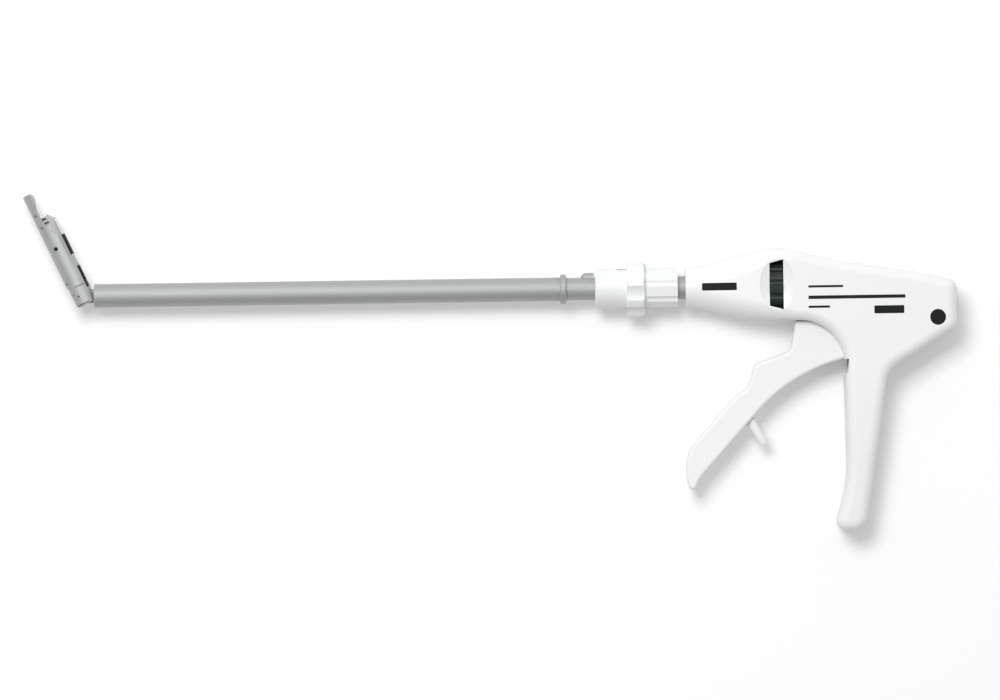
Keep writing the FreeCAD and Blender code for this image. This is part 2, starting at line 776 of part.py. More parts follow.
def make_flex_band():
    """A spring-steel band from the rod, round the bend, to the pusher."""
    half_turn = s.bend_angle / 2
    reach = s.band_bend * (sin_of(half_turn) / cos_of(half_turn))
    along = (-cos_of(s.bend_angle), sin_of(s.bend_angle))
    out = (-sin_of(s.bend_angle), -cos_of(s.bend_angle))
    centre = (-s.pivot_reach + reach, s.band_bend)
    straight = s.pusher_back - reach
    half = s.band_thickness / 2
    outer = s.band_bend + half
    inner = s.band_bend - half
    bend_end = [(centre[0] + radius * out[0], centre[1] + radius * out[1]) for radius in (outer, inner)]
    far_end = [(x + straight * along[0], y + straight * along[1]) for x, y in bend_end]
    outline = [(rod_front, -half), (centre[0], -half), (bend_end[0][0], bend_end[0][1], -outer), far_end[0],
               far_end[1], bend_end[1], (centre[0], half, inner), (rod_front, half)]
    piece(slab("band", outline, -s.band_width / 2, s.band_width / 2), "flex_band")


# Trigger, hinged in the handle
# Its outline runs down the front edge, round the finger tip, and back up behind
trigger_corners = [
    (-10.7, -7.4, 1.6), (-13.6, -23.0, 5.0), (-31.9, -29.4, 4.0), (-35.2, -41.2, 9.0), (-42.1, -45.7, 10.0),
    (-67.3, -73.6, 21.0), (-67.3, -86.6, 12.0), (-64.4, -96.2, 1.8), (-60.8, -87.4, 12.0),
    (-11.7, -32.4, 86.0), (20.0, -26.0, 2.0), (20.0, -16.0, 3.0), (11.0, -7.4, 3.0)]
trigger_outline = [(s.pivot_x + x, y - s.pivot_y, radius) for x, y, radius in trigger_corners]


def make_trigger():
    """A moulded lever: a hub on the pivot pin, a web in the handle's slot, a finger bow and a stop peg."""
    web = slab("trigger_web", trigger_outline, -s.trigger_half, s.trigger_half, draw_rounded)
    doc.recompute()
    pad = web.Tip
    rims = ["Edge" + str(place + 1) for place, edge in enumerate(pad.Shape.Edges)
            if abs(abs(edge.BoundBox.ZMax) - s.trigger_half.value) < 0.01 and edge.BoundBox.ZLength < 0.01]
    rounded = web.newObject("PartDesign::Fillet", "trigger_edges")
    rounded.Base = (pad, rims)
    bind(rounded, "Radius", s.trigger_round)
    hub = rod("trigger_hub", hub_radius, s.pivot_x, 2 * s.hub_half, NO_TURN, -s.pivot_y, -s.hub_half)
    neck = slab("trigger_neck", [(s.pivot_x - hub_radius, -s.pivot_y), (s.pivot_x - 9, -s.pivot_y - 10),
                                 (s.pivot_x + 10, -s.pivot_y - 12),
                                 (s.pivot_x + hub_radius, -s.pivot_y)], -s.hub_half, s.hub_half)
    peg = cone("trigger_peg", s.peg_radius, s.peg_end_radius, s.pivot_x - 35.4, s.peg_length,
               FreeCAD.Rotation(Z_AXIS, FreeCAD.Vector(7.6, -13.2, 0)), -s.pivot_y - 56.4)
    bore = rod("trigger_bore", s.pivot_pin_radius + s.running_gap, s.pivot_x, 20, NO_TURN, -s.pivot_y, -10)
    pin_way = rod("trigger_yoke_hole", s.yoke_pin_radius, s.pivot_x, 20, NO_TURN,
                  -s.pivot_y - s.yoke_pin_drop, -10)
    blank = fuse("trigger_blank", [web, hub, neck, peg])
    piece(cut("trigger_bored", blank, fuse("trigger_cuts", [bore, pin_way])), "trigger")


def make_drive_yoke():
    """Two steel plates beside the trigger's hub, each with a pin that runs in the spool's groove."""
    plate_in = s.hub_half
    plate_out = s.hub_half + s.fork_thickness
    groove_y = size_of(0)
    sides = []
    for side, name in ((1, "left"), (-1, "right")):
        low = plate_in if side > 0 else -plate_out
        foot = rod("yoke_foot_" + name, s.pivot_boss_radius, s.pivot_x, s.fork_thickness, NO_TURN,
                   -s.pivot_y, low)
        head = rod("yoke_head_" + name, s.fork_pin_radius + 1, groove_middle, s.fork_thickness, NO_TURN,
                   groove_y, low)
        tail = rod("yoke_tail_" + name, s.yoke_pin_radius + 1.2, s.pivot_x, s.fork_thickness, NO_TURN,
                   -s.pivot_y - s.yoke_pin_drop, low)
        arm = slab("yoke_arm_" + name, [(s.pivot_x - 3, -s.pivot_y), (s.pivot_x + 4, -s.pivot_y),
                                        (groove_middle + 2.3, groove_y), (groove_middle - 2.3, groove_y)],
                   low, low + s.fork_thickness)
        pin_low = s.spool_core + 0.4 if side > 0 else -plate_in
        pin = rod("yoke_stub_" + name, s.fork_pin_radius, groove_middle, plate_in - s.spool_core - 0.4,
                  NO_TURN, groove_y, pin_low)
        sides.append(fuse("yoke_" + name, [foot, head, tail, arm, pin]))
    bore = rod("yoke_bore", s.pivot_pin_radius + s.running_gap, s.pivot_x, 30, NO_TURN, -s.pivot_y, -15)
    hole = rod("yoke_hole", s.yoke_pin_radius, s.pivot_x, 30, NO_TURN, -s.pivot_y - s.yoke_pin_drop, -15)
    both = doc.addObject("Part::Compound", "yoke_sides")
    both.Links = sides
    piece(cut("yoke", both, fuse("yoke_cuts", [bore, hole])), "drive_yoke")


def make_yoke_pin():
    half = s.hub_half + s.fork_thickness
    piece(rod("yoke_cross_pin", s.yoke_pin_radius, s.pivot_x, 2 * half, NO_TURN,
              -s.pivot_y - s.yoke_pin_drop, -half),
          "yoke_pin")


# Handle: the outside form, its hollow, and the two halves
def rounded_section(name, place, top, bottom, half_width, corner):
    """A rounded rectangle across the shaft's axis, as a section for a loft."""
    top, bottom, half_width, corner = size_of(top), size_of(bottom), size_of(half_width), size_of(corner)
    sketch = doc.addObject("Sketcher::SketchObject", name)
    put(sketch, place, 0, 0, FreeCAD.Rotation(FreeCAD.Vector(0, 1, 0), FreeCAD.Vector(0, 0, 1),
                                              FreeCAD.Vector(1, 0, 0), "ZXY"))
    draw(sketch, [(top - corner, -half_width), (top, -half_width + corner, corner),
                  (top, half_width - corner),
                  (top - corner, half_width, corner), (bottom + corner, half_width),
                  (bottom, half_width - corner, corner), (bottom, -half_width + corner),
                  (bottom + corner, -half_width, corner)])
    return sketch


def loft(name, sections):
    body = doc.addObject("Part::Loft", name)
    body.Sections = sections
    body.Solid = True
    body.Ruled = False
    return body


def barrel(name, inset, solid_nose):
    """The round nose that grows into the body, in sections, each inset by a wall."""
    inset = size_of(inset)
    nose = s.nose_radius - inset
    sections = [
        rounded_section(name + "_neck", s.nose_front + s.neck_length, s.neck_radius - inset,
                        -s.neck_radius + inset, s.neck_radius - inset, nose - 0.1),
        rounded_section(name + "_flare", s.nose_front + s.flare_length, s.flare_radius - inset,
                        -s.flare_radius + inset + 0.6, s.flare_radius - 2.4 - inset, 10.5 - inset),
        rounded_section(name + "_peak", s.peak_place, s.peak_top - inset, -s.body_bottom + inset,
                        s.side_half - inset, 8.0 - inset),
        rounded_section(name + "_end", s.body_start, s.body_top - inset, -s.body_bottom + inset,
                        s.side_half - inset, s.edge_round + 0.6 - inset)]
    if solid_nose:
        sections.insert(0, rounded_section(name + "_nose", s.nose_front, nose, -nose, nose, nose - 0.1))
    return loft(name, sections)


# The frame's outline runs down its front, round the grip and back along the top
frame_outline = [
    (s.body_start, s.body_top, 0), (s.body_start, -s.body_bottom, 0), (s.grip_front, -s.body_bottom, 23.0),
    (s.grip_front + 1.2, s.grip_bend - s.grip_foot, 80.0), (s.grip_front - 6.3, -s.grip_foot, 5.4),
    (s.grip_front + 9.9, -s.grip_foot, 8.4),
    (s.palm_place + 1.2, -43.6, 13.0), (s.back_place, -22.0, 5.5), (s.back_place, 1.7, 5.4),
    (183.0, 6.0, 60.0), (140.0, 12.8, 100.0)]


def make_frame():
    """The flat-sided part of the handle, thinner towards the foot of the grip, with its edges rounded."""
    frame = slab("frame", frame_outline, -s.side_half, s.side_half, draw_rounded)
    foot = -s.grip_foot - 5
    drop = s.side_half - s.grip_foot_half
    run = -s.taper_start - foot
    taper = sketch_in(frame, "grip_taper", "YZ_Plane", s.body_start)
    taper_curve = (run * run + drop * drop) / (2 * drop)
    draw(taper, [(-s.taper_start, s.side_half), (foot, s.grip_foot_half, taper_curve),
                 (foot, s.side_half + 5), (-s.taper_start, s.side_half + 5)])
    doc.recompute()
    sides = frame.newObject("PartDesign::Pocket", "grip_sides")
    sides.Profile = taper
    sides.Type = "ThroughAll"
    sides.Reversed = True
    doc.recompute()
    mirror = frame.newObject("PartDesign::Mirrored", "grip_sides_both")
    mirror.Originals = [sides]
    mirror.MirrorPlane = (plane_of(frame, "XY_Plane"), [""])
    frame.Tip = mirror
    doc.recompute()
    rims = []
    for place, edge in enumerate(mirror.Shape.Edges):
        box = edge.BoundBox
        beside = min(abs(box.ZMin),
                     abs(box.ZMax)) > s.grip_foot_half.value - 0.6 and box.ZMin * box.ZMax > 0
        across = box.YLength < 0.01 and abs(box.YMax + s.taper_start.value) < 0.1
        if beside and not across and box.XMax > s.body_start.value + 0.1:
            rims.append("Edge" + str(place + 1))
    rounded = frame.newObject("PartDesign::Fillet", "frame_edges")
    rounded.Base = (mirror, rims)
    bind(rounded, "Radius", s.edge_round)
    frame.Tip = rounded
    return frame


def make_hollow():
    """The room inside the shells: the outside form, one wall smaller."""
    sketch = doc.addObject("Sketcher::SketchObject", "hollow_outline")
    draw_rounded(sketch, frame_outline)
    inset = doc.addObject("Part::Offset2D", "hollow_inset")
    inset.Source = sketch
    bind(inset, "Value", -s.wall)
    grip = doc.addObject("Part::Extrusion", "hollow_grip")
    top = doc.addObject("Part::Extrusion", "hollow_top")
    for solid, half in ((grip, s.grip_foot_half - s.wall), (top, s.side_half - s.wall)):
        solid.Base = inset
        solid.DirMode = "Custom"
        solid.Dir = Z_AXIS
        solid.Solid = True
        solid.Symmetric = True
        bind(solid, "LengthFwd", 2 * half)
    above = block("hollow_above", s.body_start + 0.5, s.back_place + 1, -s.taper_start, s.body_top + 5,
                  -s.side_half, s.side_half)
    join = block("hollow_join", s.body_start - 1, s.body_start + s.wall + 1, -12, 14, -s.grip_foot_half,
                 s.grip_foot_half)
    return fuse("hollow", [grip, common("hollow_body", [top, above]), join,
                           barrel("hollow_barrel", s.wall, False)])


def make_handle():
    """Two moulded shells, split on the middle plane, with bearing ribs, bosses and windows."""
    blank = fuse("handle_blank", [make_frame(), barrel("barrel", 0, True)])
    shell = cut("handle_shell", blank, make_hollow())
    deep = s.side_half + 1
    ribs = [block("rear_rib", s.rib_front, s.rib_front + s.rib_width, -25, 25, -deep, deep),
            block("front_rib", s.knob_front - 1.9 - s.rib_width / 2, s.knob_front - 1.9, -25, 25, -deep,
                  deep)]
    boss_low = s.hub_half + s.fork_thickness + s.free_gap
    for name, low in (("left", boss_low), ("right", -s.side_half)):
        ribs.append(rod("pivot_boss_" + name, s.pivot_boss_radius, s.pivot_x, s.side_half - boss_low,
                        NO_TURN, -s.pivot_y, low))
    for place, (x, y) in enumerate(case_pin_places):
        ribs.append(rod("case_boss_" + str(place), s.boss_radius, x, 2 * s.side_half, NO_TURN, y,
                        -s.side_half))
    inner = common("handle_inner", [fuse("handle_ribs", ribs), blank])
    whole = fuse("handle_whole", [shell, inner])
    middle = s.knob_front + s.knob_width / 2
    bore = s.tube_radius + 0.4
    slot_half = s.trigger_half + s.slot_gap
    cuts = [rod("nose_bore", bore, s.nose_front - 1, s.rib_front - s.nose_front + 2),
            rod("nose_seat", s.bushing_radius, s.nose_front + s.nose_lip, s.nose_bushing_length),
            rod("rear_seat", s.bushing_radius, s.rib_front, s.rib_width),
            rod("knob_room", s.knob_radius + 0.6, s.knob_front, s.knob_width),
            slab("knob_window", [(s.knob_front, s.window_lift - s.window_half),
                                 (s.knob_front + s.knob_width, s.window_lift - s.window_rear_half),
                                 (s.knob_front + s.knob_width, s.window_lift + s.window_rear_half),
                                 (s.knob_front, s.window_lift + s.window_half)], -deep, deep),
            slab("slot_mouth", [(s.grip_front - 2, s.mouth_top),
                                (s.grip_front - 2, s.mouth_top - s.mouth_drop),
                                (s.grip_front + 1.8, s.mouth_top - s.mouth_drop),
                                (s.grip_front + 2.4, s.mouth_top)], -deep, deep),
            block("trigger_slot", s.body_start + 0.3, s.grip_front + 4, -45.6, -12.0, -slot_half,
                  slot_half),
            rod("pivot_hole", s.pivot_pin_radius, s.pivot_x, 2 * s.pivot_pin_half, NO_TURN, -s.pivot_y,
                -s.pivot_pin_half)]
    depth_share = s.scoop_reach / (s.scoop_reach + s.scoop_depth)
    scoop_share = root_of(1 - depth_share * depth_share)
    for name, side in (("left", 1), ("right", -1)):
        scoop = doc.addObject("Part::Ellipsoid", "scoop_" + name)
        bind(scoop, "Radius1", s.scoop_reach + s.scoop_depth)
        bind(scoop, "Radius2", s.scoop_half_width / scoop_share)
        bind(scoop, "Radius3", s.scoop_half_height / scoop_share)
        cuts.append(put(scoop, middle, s.window_lift, side * (s.side_half + s.scoop_reach)))
    for place, (x, y) in enumerate(case_pin_places):
        cuts.append(rod("case_hole_" + str(place), s.case_pin_radius, x, 2 * s.case_pin_half, NO_TURN, y,
                        -s.case_pin_half))
    bored = cut("handle_bored", whole, fuse("handle_cuts", cuts))
    left_side = block("left_side", s.nose_front - 1, s.back_place + 2, -s.grip_foot - 2, s.peak_top + 4, 0,
                      deep)
    left = piece(common("handle_left_form", [bored, left_side]), "handle_half_left")
    right = doc.addObject("Part::Mirroring", "handle_right_form")
    right.Source = left
    right.Normal = Z_AXIS
    piece(right, "handle_half_right")


def make_bushings():
    piece(ring("nose_plain", seat_radius + s.running_gap, s.bushing_radius, s.nose_front + s.nose_lip,
               s.nose_bushing_length),
          "nose_bushing")
    piece(ring("rear_plain", seat_radius + s.running_gap, s.bushing_radius, s.rib_front, s.rib_width),
          "rear_bushing")


def make_trigger_pivot_pin():
    piece(rod("pivot_bar", s.pivot_pin_radius, s.pivot_x, 2 * s.pivot_pin_half, NO_TURN, -s.pivot_y,
              -s.pivot_pin_half),
          "trigger_pivot_pin")


def make_case_pins():
    pins = [rod("case_pin_" + str(place), s.case_pin_radius, x, 2 * s.case_pin_half, NO_TURN, y,
                -s.case_pin_half)
            for place, (x, y) in enumerate(case_pin_places)]
    group = doc.addObject("Part::Compound", "pins")
    group.Links = pins
    piece(group, "case_pins")


# Tip, drawn straight ahead of its hinge: u is the distance ahead, which is -X here
def tip_round(name, back, front, radius=s.tip_radius):
    """A round bar of the tip's own radius between two distances ahead of the hinge."""
    back, front = size_of(back), size_of(front)
    return rod(name, radius, -front, front - back)


def tip_block(name, back, front, low, high, half):
    return block(name, -size_of(front), -size_of(back), low, high, -size_of(half), half)


def make_tip_knuckle():
    """A round steel base, forked for the tongue and relieved so that it can swing past the tube's end."""
    top = s.cover_top + 0.2
    swing = (s.knuckle_swing * cos_of(s.bend_angle), s.knuckle_swing * sin_of(s.bend_angle))
    corner_rise = 3.05
    profile = slab("knuckle_profile", [
        (-s.knuckle_length, -s.tip_radius - 1), (s.knuckle_back - 1.5, -s.tip_radius - 1),
        (s.knuckle_back - 1.5, -s.tip_radius),
        (s.knuckle_back, -s.tip_radius + 1.5), (s.knuckle_back, corner_rise),
        (swing[0], swing[1], s.knuckle_swing),
        ((s.knuckle_swing - top * sin_of(s.bend_angle)) / cos_of(s.bend_angle), top),
        (-s.knuckle_length, top)], -s.tip_radius - 1, s.tip_radius + 1)
    blank = common("knuckle_blank", [tip_round("knuckle_round", -s.knuckle_back, s.knuckle_length),
                                     profile])
    fork_half = s.tongue_half + s.tongue_gap
    reach = 30
    cuts = [tip_block("knuckle_fork", -s.knuckle_back - 1, s.knuckle_swing + 1.3, -10, 10, fork_half),
            tip_block("knuckle_passage", 5, s.knuckle_length + 1, -1.9, 1.9, s.band_slot + 0.15),
            rod("knuckle_hinge_hole", s.trunnion_radius, 0, reach, NO_TURN, 0, -reach / 2),
            rod("knuckle_drive_hole", s.drive_pin_radius, 0, 2 * s.drive_pin_half, NO_TURN,
                -s.drive_pin_offset, -s.drive_pin_half),
            tip_block("knuckle_strip_seat", strip_two[0], strip_two[1], strip_low, 10, s.strip_half)]
    tip_piece(cut("knuckle", blank, fuse("knuckle_cuts", cuts)), "tip_knuckle")


def make_tip_trunnions():
    """Two short pins, pressed in the knuckle's cheeks, so that the band can pass between them."""
    inner, outer = s.band_slot + 0.1, s.tip_radius - 0.1
    pins = [rod("trunnion_left", s.trunnion_radius, 0, outer - inner, NO_TURN, 0, inner),
            rod("trunnion_right", s.trunnion_radius, 0, outer - inner, NO_TURN, 0, -outer)]
    group = doc.addObject("Part::Compound", "trunnions")
    group.Links = pins
    tip_piece(group, "tip_trunnions")


def make_articulation_pin():
    group = doc.addObject("Part::Compound", "drive_pin")
    group.Links = [rod("drive_bar", s.drive_pin_radius, 0, 2 * s.drive_pin_half, NO_TURN,
                       -s.drive_pin_offset, -s.drive_pin_half)]
    tip_piece(group, "articulation_pin")


def make_cartridge_channel():
    """A steel U channel, open towards the bend, with sight holes in its walls."""
    wall_line = [(-s.channel_end, channel_end_low), (-48.0, -2.6), (-38.0, -1.0), (-33.0, 2.0),
                 (-s.knuckle_length, 2.5)]
    profile = slab("channel_profile", [(-s.knuckle_length, -s.tip_radius - 1), *reversed(wall_line),
                                       (-s.channel_end, -s.tip_radius - 1)][::-1], -s.tip_radius - 1,
                                       s.tip_radius + 1)
    outside = common("channel_blank", [tip_round("channel_round", s.knuckle_length, s.channel_end),
                                       profile])
    cuts = [tip_round("channel_bore", s.knuckle_length - 1, s.channel_end + 1,
                      s.tip_radius - s.channel_wall),
            rod("sight_hole", s.sight_hole_radius, -27.3, 20, NO_TURN, -1.8, -10)]
    for place, (u, v) in enumerate(rivet_places):
        cuts.append(rod("rivet_hole_" + str(place), s.rivet_radius, -size_of(u), 20, NO_TURN, v, -10))
    tip_piece(cut("channel", outside, fuse("channel_cuts", cuts)), "cartridge_channel")


def make_cartridge_rivets():
    """Short rivets in the channel's walls, flush on both faces."""
    studs = []
    for place, (u, v) in enumerate(rivet_places):
        inner = math.sqrt((s.tip_radius.value - s.channel_wall.value) ** 2 - v * v) + 0.35
        outer = math.sqrt(s.tip_radius.value ** 2 - v * v) - s.rivet_sink.value
        for name, low in (("left", inner), ("right", -outer)):
            studs.append(rod("rivet_" + name + str(place), s.rivet_radius, -size_of(u), outer - inner,
                             NO_TURN, v, low))
    group = doc.addObject("Part::Compound", "rivets")
    group.Links = studs
    tip_piece(group, "cartridge_rivets")


def make_anvil_plate():
    """A plate along the channel's floor that ends in the solid forming finger."""
    nose_profile = slab("anvil_profile", [
        (-s.finger_end, -s.tip_radius - 1), (-s.channel_end, -s.tip_radius - 1),
        (-s.channel_end, -s.finger_top - 1), (-s.channel_end - 3.2, -s.finger_top),
        (-s.finger_end + 0.8, -s.finger_top), (-s.finger_end, -s.finger_top - 0.8)], -s.tip_radius - 1,
        s.tip_radius + 1)
    nose = common("anvil_nose", [tip_round("anvil_round", s.channel_end, s.finger_end), nose_profile])
    plate = tip_block("anvil_floor", 20, s.channel_end + 0.5, -s.carrier_floor - 0.6,
                      -s.carrier_floor - 0.1, 2.5)
    tip_piece(fuse("anvil", [nose, plate]), "anvil_plate")


def make_cartridge_body():
    """The black carrier in the channel, with the pusher's track below its deck."""
    rear = s.knuckle_length + 0.4
    carrier = slab("carrier_profile", [(-rear, -s.carrier_floor), (-rear, s.carrier_deck),
                                       (-41.0, s.carrier_deck),
                                       (-45.5, -1.4), (-50.0, -2.9), (-50.0, -s.carrier_floor)][::-1],
                   -s.carrier_half, s.carrier_half)
    cuts = [tip_block("carrier_track", rear - 1, 51, -s.carrier_floor - 1, -s.track_top, s.track_half),
            tip_block("carrier_room", rear - 1, 27.8, -s.carrier_floor - 1, 0.9, s.track_half)]
    for name, low in (("left", s.carrier_half - s.sight_depth), ("right", -s.carrier_half)):
        cuts.append(rod("carrier_sight_" + name, s.sight_hole_radius, -27.3, s.sight_depth, NO_TURN, -1.8,
                        low))
    tip_piece(cut("carrier", carrier, fuse("carrier_cuts", cuts)), "cartridge_body")


def make_cartridge_cover():
    """The clear cover over the staples, bevelled at its front."""
    outline = [(-s.knuckle_length, 2.5), (-33.0, 2.0), (-38.0, -1.0), (-48.0, -2.6), (-48.0, -1.0),
               (-42.5, 4.3), (-41.7, s.cover_top), (-s.knuckle_length, s.cover_top)]
    blank = common("cover_blank", [tip_round("cover_round", s.knuckle_length, 48.0),
                                   slab("cover_profile", outline[::-1], -s.tip_radius - 1,
                                        s.tip_radius + 1)])
    inside = slab("cover_inside", [(-s.knuckle_length + 1, -4.0), (-s.knuckle_length + 1, s.cover_top - 1),
                                   (-41.3, s.cover_top - 1), (-46.6, -1.2), (-49.0, -1.9),
                                   (-49.0, -4.0)][::-1],
                  -s.carrier_half - 0.1, s.carrier_half + 0.1)
    strip = tip_block("cover_strip_seat", strip_one[0], strip_one[1], strip_low, 10, s.strip_half)
    hoop = ring_ahead("cover_hoop_seat")
    tip_piece(cut("cover", blank, fuse("cover_cuts", [inside, strip, hoop])), "cartridge_cover")


def ring_ahead(name):
    """The bridge's hoop about the tip's axis, behind the first strip."""
    hoop = cut(name + "_hoop", tip_round(name + "_out", s.knuckle_length,
                                         s.knuckle_length + s.bridge_length, s.tip_radius),
               tip_round(name + "_in", s.knuckle_length, s.knuckle_length + s.bridge_length,
                         s.tip_radius - s.bridge_wall))
    return hoop


def make_cover_bridge():
    """A steel strap bent over the cover's rear end."""
    above = tip_block("bridge_above", s.knuckle_length, s.knuckle_length + s.bridge_length, 2.55,
                      s.cover_top, 10)
    tip_piece(common("bridge", [ring_ahead("bridge"), above]), "cover_bridge")


def make_cover_strips():
    """Two black strips let into the backs of the knuckle and the cover."""
    strips = [tip_block("strip_one", strip_one[0], strip_one[1], strip_low, strip_low + s.strip_thickness,
                        s.strip_half),
              tip_block("strip_two", strip_two[0], strip_two[1], strip_low, strip_low + s.strip_thickness,
                        s.strip_half)]
    group = doc.addObject("Part::Compound", "strips")
    group.Links = strips
    tip_piece(group, "cover_strips")


def make_staples():
    """Open wire staples in a row on the deck, legs forward."""
    staples = []
    base = s.carrier_deck + 0.05
    for place in range(round(s.staple_count.value)):
        back = s.staple_first + s.staple_pitch * place
        crown = tip_block("crown_" + str(place), back, back + s.staple_wire, base, base + s.staple_wire,
                          s.staple_width / 2)
        legs = []
        for side, low in (("left", s.staple_width / 2 - s.staple_wire), ("right", -s.staple_width / 2)):
            legs.append(block("leg_" + side + str(place), -(back + s.staple_wire + s.staple_leg), -back,
                              base, base + s.staple_wire, low, low + s.staple_wire))
        staples.append(fuse("staple_" + str(place), [crown] + legs))
    group = doc.addObject("Part::Compound", "staple_row")
    group.Links = staples
    tip_piece(group, "staples")


def make_staple_spring():
    """A leaf under the cover that presses the staples onto the deck."""
    roof = s.cover_top - 1.05
    row_top = s.carrier_deck + 0.1 + s.staple_wire
    tip_piece(slab("leaf", [(-17.7, roof), (-19.6, roof), (-38.4, row_top + 0.3), (-39.6, row_top + 0.55),
                            (-39.7, row_top + 0.25), (-38.4, row_top), (-19.6, roof - 0.25),
                            (-17.7, roof - 0.25)], -1.4, 1.4), "staple_spring")


def make_staple_pusher():
    """A sliding block with a blade that reaches under the staples."""
    tip_piece(slab("pusher", [(-s.pusher_back, -s.carrier_floor + 0.1), (-s.pusher_back, 0.6),
                              (-s.pusher_back - 3.4, 0.6),
                              (-s.pusher_back - 4.2, -s.track_top - 0.2), (-36.0, -s.track_top - 0.2),
                              (-36.6, -s.carrier_floor + 0.1)][::-1], -s.track_half + 0.1,
                              s.track_half - 0.1),
              "staple_pusher")


for make in (make_handle, make_bushings, make_trigger_pivot_pin, make_case_pins,
             make_shaft_tube, make_stop_ring, make_guide_key, make_retaining_clip, make_rotation_knob,
             make_knob_key, make_tongue_plug, make_rod_guides, make_shaft_seal, make_spring_seat,
             make_rod_return_spring, make_articulation_collar, make_collar_pin, make_articulation_rod,
             make_firing_rod, make_rod_spool, make_flex_band, make_trigger, make_drive_yoke, make_yoke_pin,
             make_tip_knuckle, make_tip_trunnions, make_articulation_pin, make_cartridge_channel,
             make_cartridge_rivets, make_anvil_plate, make_cartridge_body, make_cartridge_cover,
             make_cover_bridge, make_cover_strips, make_staples, make_staple_spring, make_staple_pusher):
    make()
doc.recompute()

# Check every object and every piece, then write the pieces
problems = [thing.Name + " " + str(thing.State) for thing in doc.Objects
            if "Invalid" in thing.State or "Error" in thing.State]
for thing in pieces:
    if thing.Shape.isNull() or not thing.Shape.isValid() or not thing.Shape.Solids:
        problems.append(thing.Label + " has no sound shape")
if problems:
    raise SystemExit("not written: " + "; ".join(problems))
os.makedirs("parts", exist_ok=True)
for thing in pieces:
    thing.Shape.exportStep("parts/" + thing.Label + ".step")
    print(thing.Label, len(thing.Shape.Solids), round(thing.Shape.Volume, 2))
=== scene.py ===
import math

import bpy
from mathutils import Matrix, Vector


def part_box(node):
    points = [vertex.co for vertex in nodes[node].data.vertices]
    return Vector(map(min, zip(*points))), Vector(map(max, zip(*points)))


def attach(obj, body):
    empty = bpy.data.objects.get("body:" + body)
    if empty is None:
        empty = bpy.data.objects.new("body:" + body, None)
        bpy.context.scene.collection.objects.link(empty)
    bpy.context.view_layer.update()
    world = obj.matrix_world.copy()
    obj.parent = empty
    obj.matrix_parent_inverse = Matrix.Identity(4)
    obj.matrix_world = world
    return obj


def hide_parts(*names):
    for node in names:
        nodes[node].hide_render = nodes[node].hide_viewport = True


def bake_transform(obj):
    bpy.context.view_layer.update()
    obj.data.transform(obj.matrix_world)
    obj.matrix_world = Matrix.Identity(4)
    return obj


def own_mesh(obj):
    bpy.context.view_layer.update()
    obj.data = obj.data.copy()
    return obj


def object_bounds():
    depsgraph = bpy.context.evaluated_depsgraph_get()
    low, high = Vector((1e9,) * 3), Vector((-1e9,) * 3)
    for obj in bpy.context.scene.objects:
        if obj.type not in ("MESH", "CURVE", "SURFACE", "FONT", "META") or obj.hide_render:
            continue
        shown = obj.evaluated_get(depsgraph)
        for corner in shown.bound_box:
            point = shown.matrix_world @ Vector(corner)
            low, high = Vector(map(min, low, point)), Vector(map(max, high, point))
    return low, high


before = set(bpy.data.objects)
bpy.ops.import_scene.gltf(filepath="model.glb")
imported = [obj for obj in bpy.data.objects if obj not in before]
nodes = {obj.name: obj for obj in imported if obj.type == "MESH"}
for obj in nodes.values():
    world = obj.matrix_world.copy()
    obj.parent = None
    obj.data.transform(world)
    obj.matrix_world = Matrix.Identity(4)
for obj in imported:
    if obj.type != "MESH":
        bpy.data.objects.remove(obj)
cad_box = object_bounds()
mm = 0.001


# Camera
# It looks straight down on the stapler, which lies on its right side, and sees 508 mm from left to right.
# The small roll lets the shaft rise to the right by less than a degree.
view_width = 508 * mm
view_centre = (-31.0 * mm, -30.4 * mm)
camera_height = 3.4
camera_roll = math.radians(-0.825)
camera_data = bpy.data.cameras.new("camera")
camera_data.sensor_width = 36
camera_data.lens = camera_data.sensor_width * camera_height / view_width
camera_data.clip_end = 20
camera = bpy.data.objects.new("camera", camera_data)
camera.location = (*view_centre, camera_height)
camera.rotation_euler = (0, 0, camera_roll)
bpy.context.scene.collection.objects.link(camera)
bpy.context.scene.camera = camera
bpy.context.scene.view_settings.view_transform = "Standard"


# Table
# A sheet of white paper that the handle's flat side rests on. It keeps the soft shadows, and it glows
# a little for the camera, for reflections and through the clear cover, so that it shows white.
table_size = 6
table_height = cad_box[0][2]
paper_white = 0.86
paper_glow = 0.15
bpy.ops.object.select_all(action="DESELECT")
bpy.ops.mesh.primitive_plane_add(size=table_size, location=(0, 0, table_height))
table = bpy.context.object
table.name = "table_top"

paper = bpy.data.materials.new("paper")
paper.use_nodes = True
tree = paper.node_tree
surface = tree.nodes["Principled BSDF"]
surface.inputs["Base Color"].default_value = (paper_white, paper_white, paper_white, 1)
surface.inputs["Roughness"].default_value = 0.9
surface.inputs["Specular IOR Level"].default_value = 0.1
glow = tree.nodes.new("ShaderNodeEmission")
glow.inputs["Strength"].default_value = paper_glow
glowing = tree.nodes.new("ShaderNodeAddShader")
chosen = tree.nodes.new("ShaderNodeMixShader")
rays = tree.nodes.new("ShaderNodeLightPath")
sharp = tree.nodes.new("ShaderNodeMath")
sharp.operation = "MAXIMUM"
seen = tree.nodes.new("ShaderNodeMath")
seen.operation = "MAXIMUM"
tree.links.new(rays.outputs["Is Camera Ray"], sharp.inputs[0])
tree.links.new(rays.outputs["Is Glossy Ray"], sharp.inputs[1])
tree.links.new(sharp.outputs["Value"], seen.inputs[0])
tree.links.new(rays.outputs["Is Transmission Ray"], seen.inputs[1])
tree.links.new(surface.outputs["BSDF"], glowing.inputs[0])
tree.links.new(glow.outputs["Emission"], glowing.inputs[1])
tree.links.new(seen.outputs["Value"], chosen.inputs["Fac"])
tree.links.new(surface.outputs["BSDF"], chosen.inputs[1])
tree.links.new(glowing.outputs["Shader"], chosen.inputs[2])
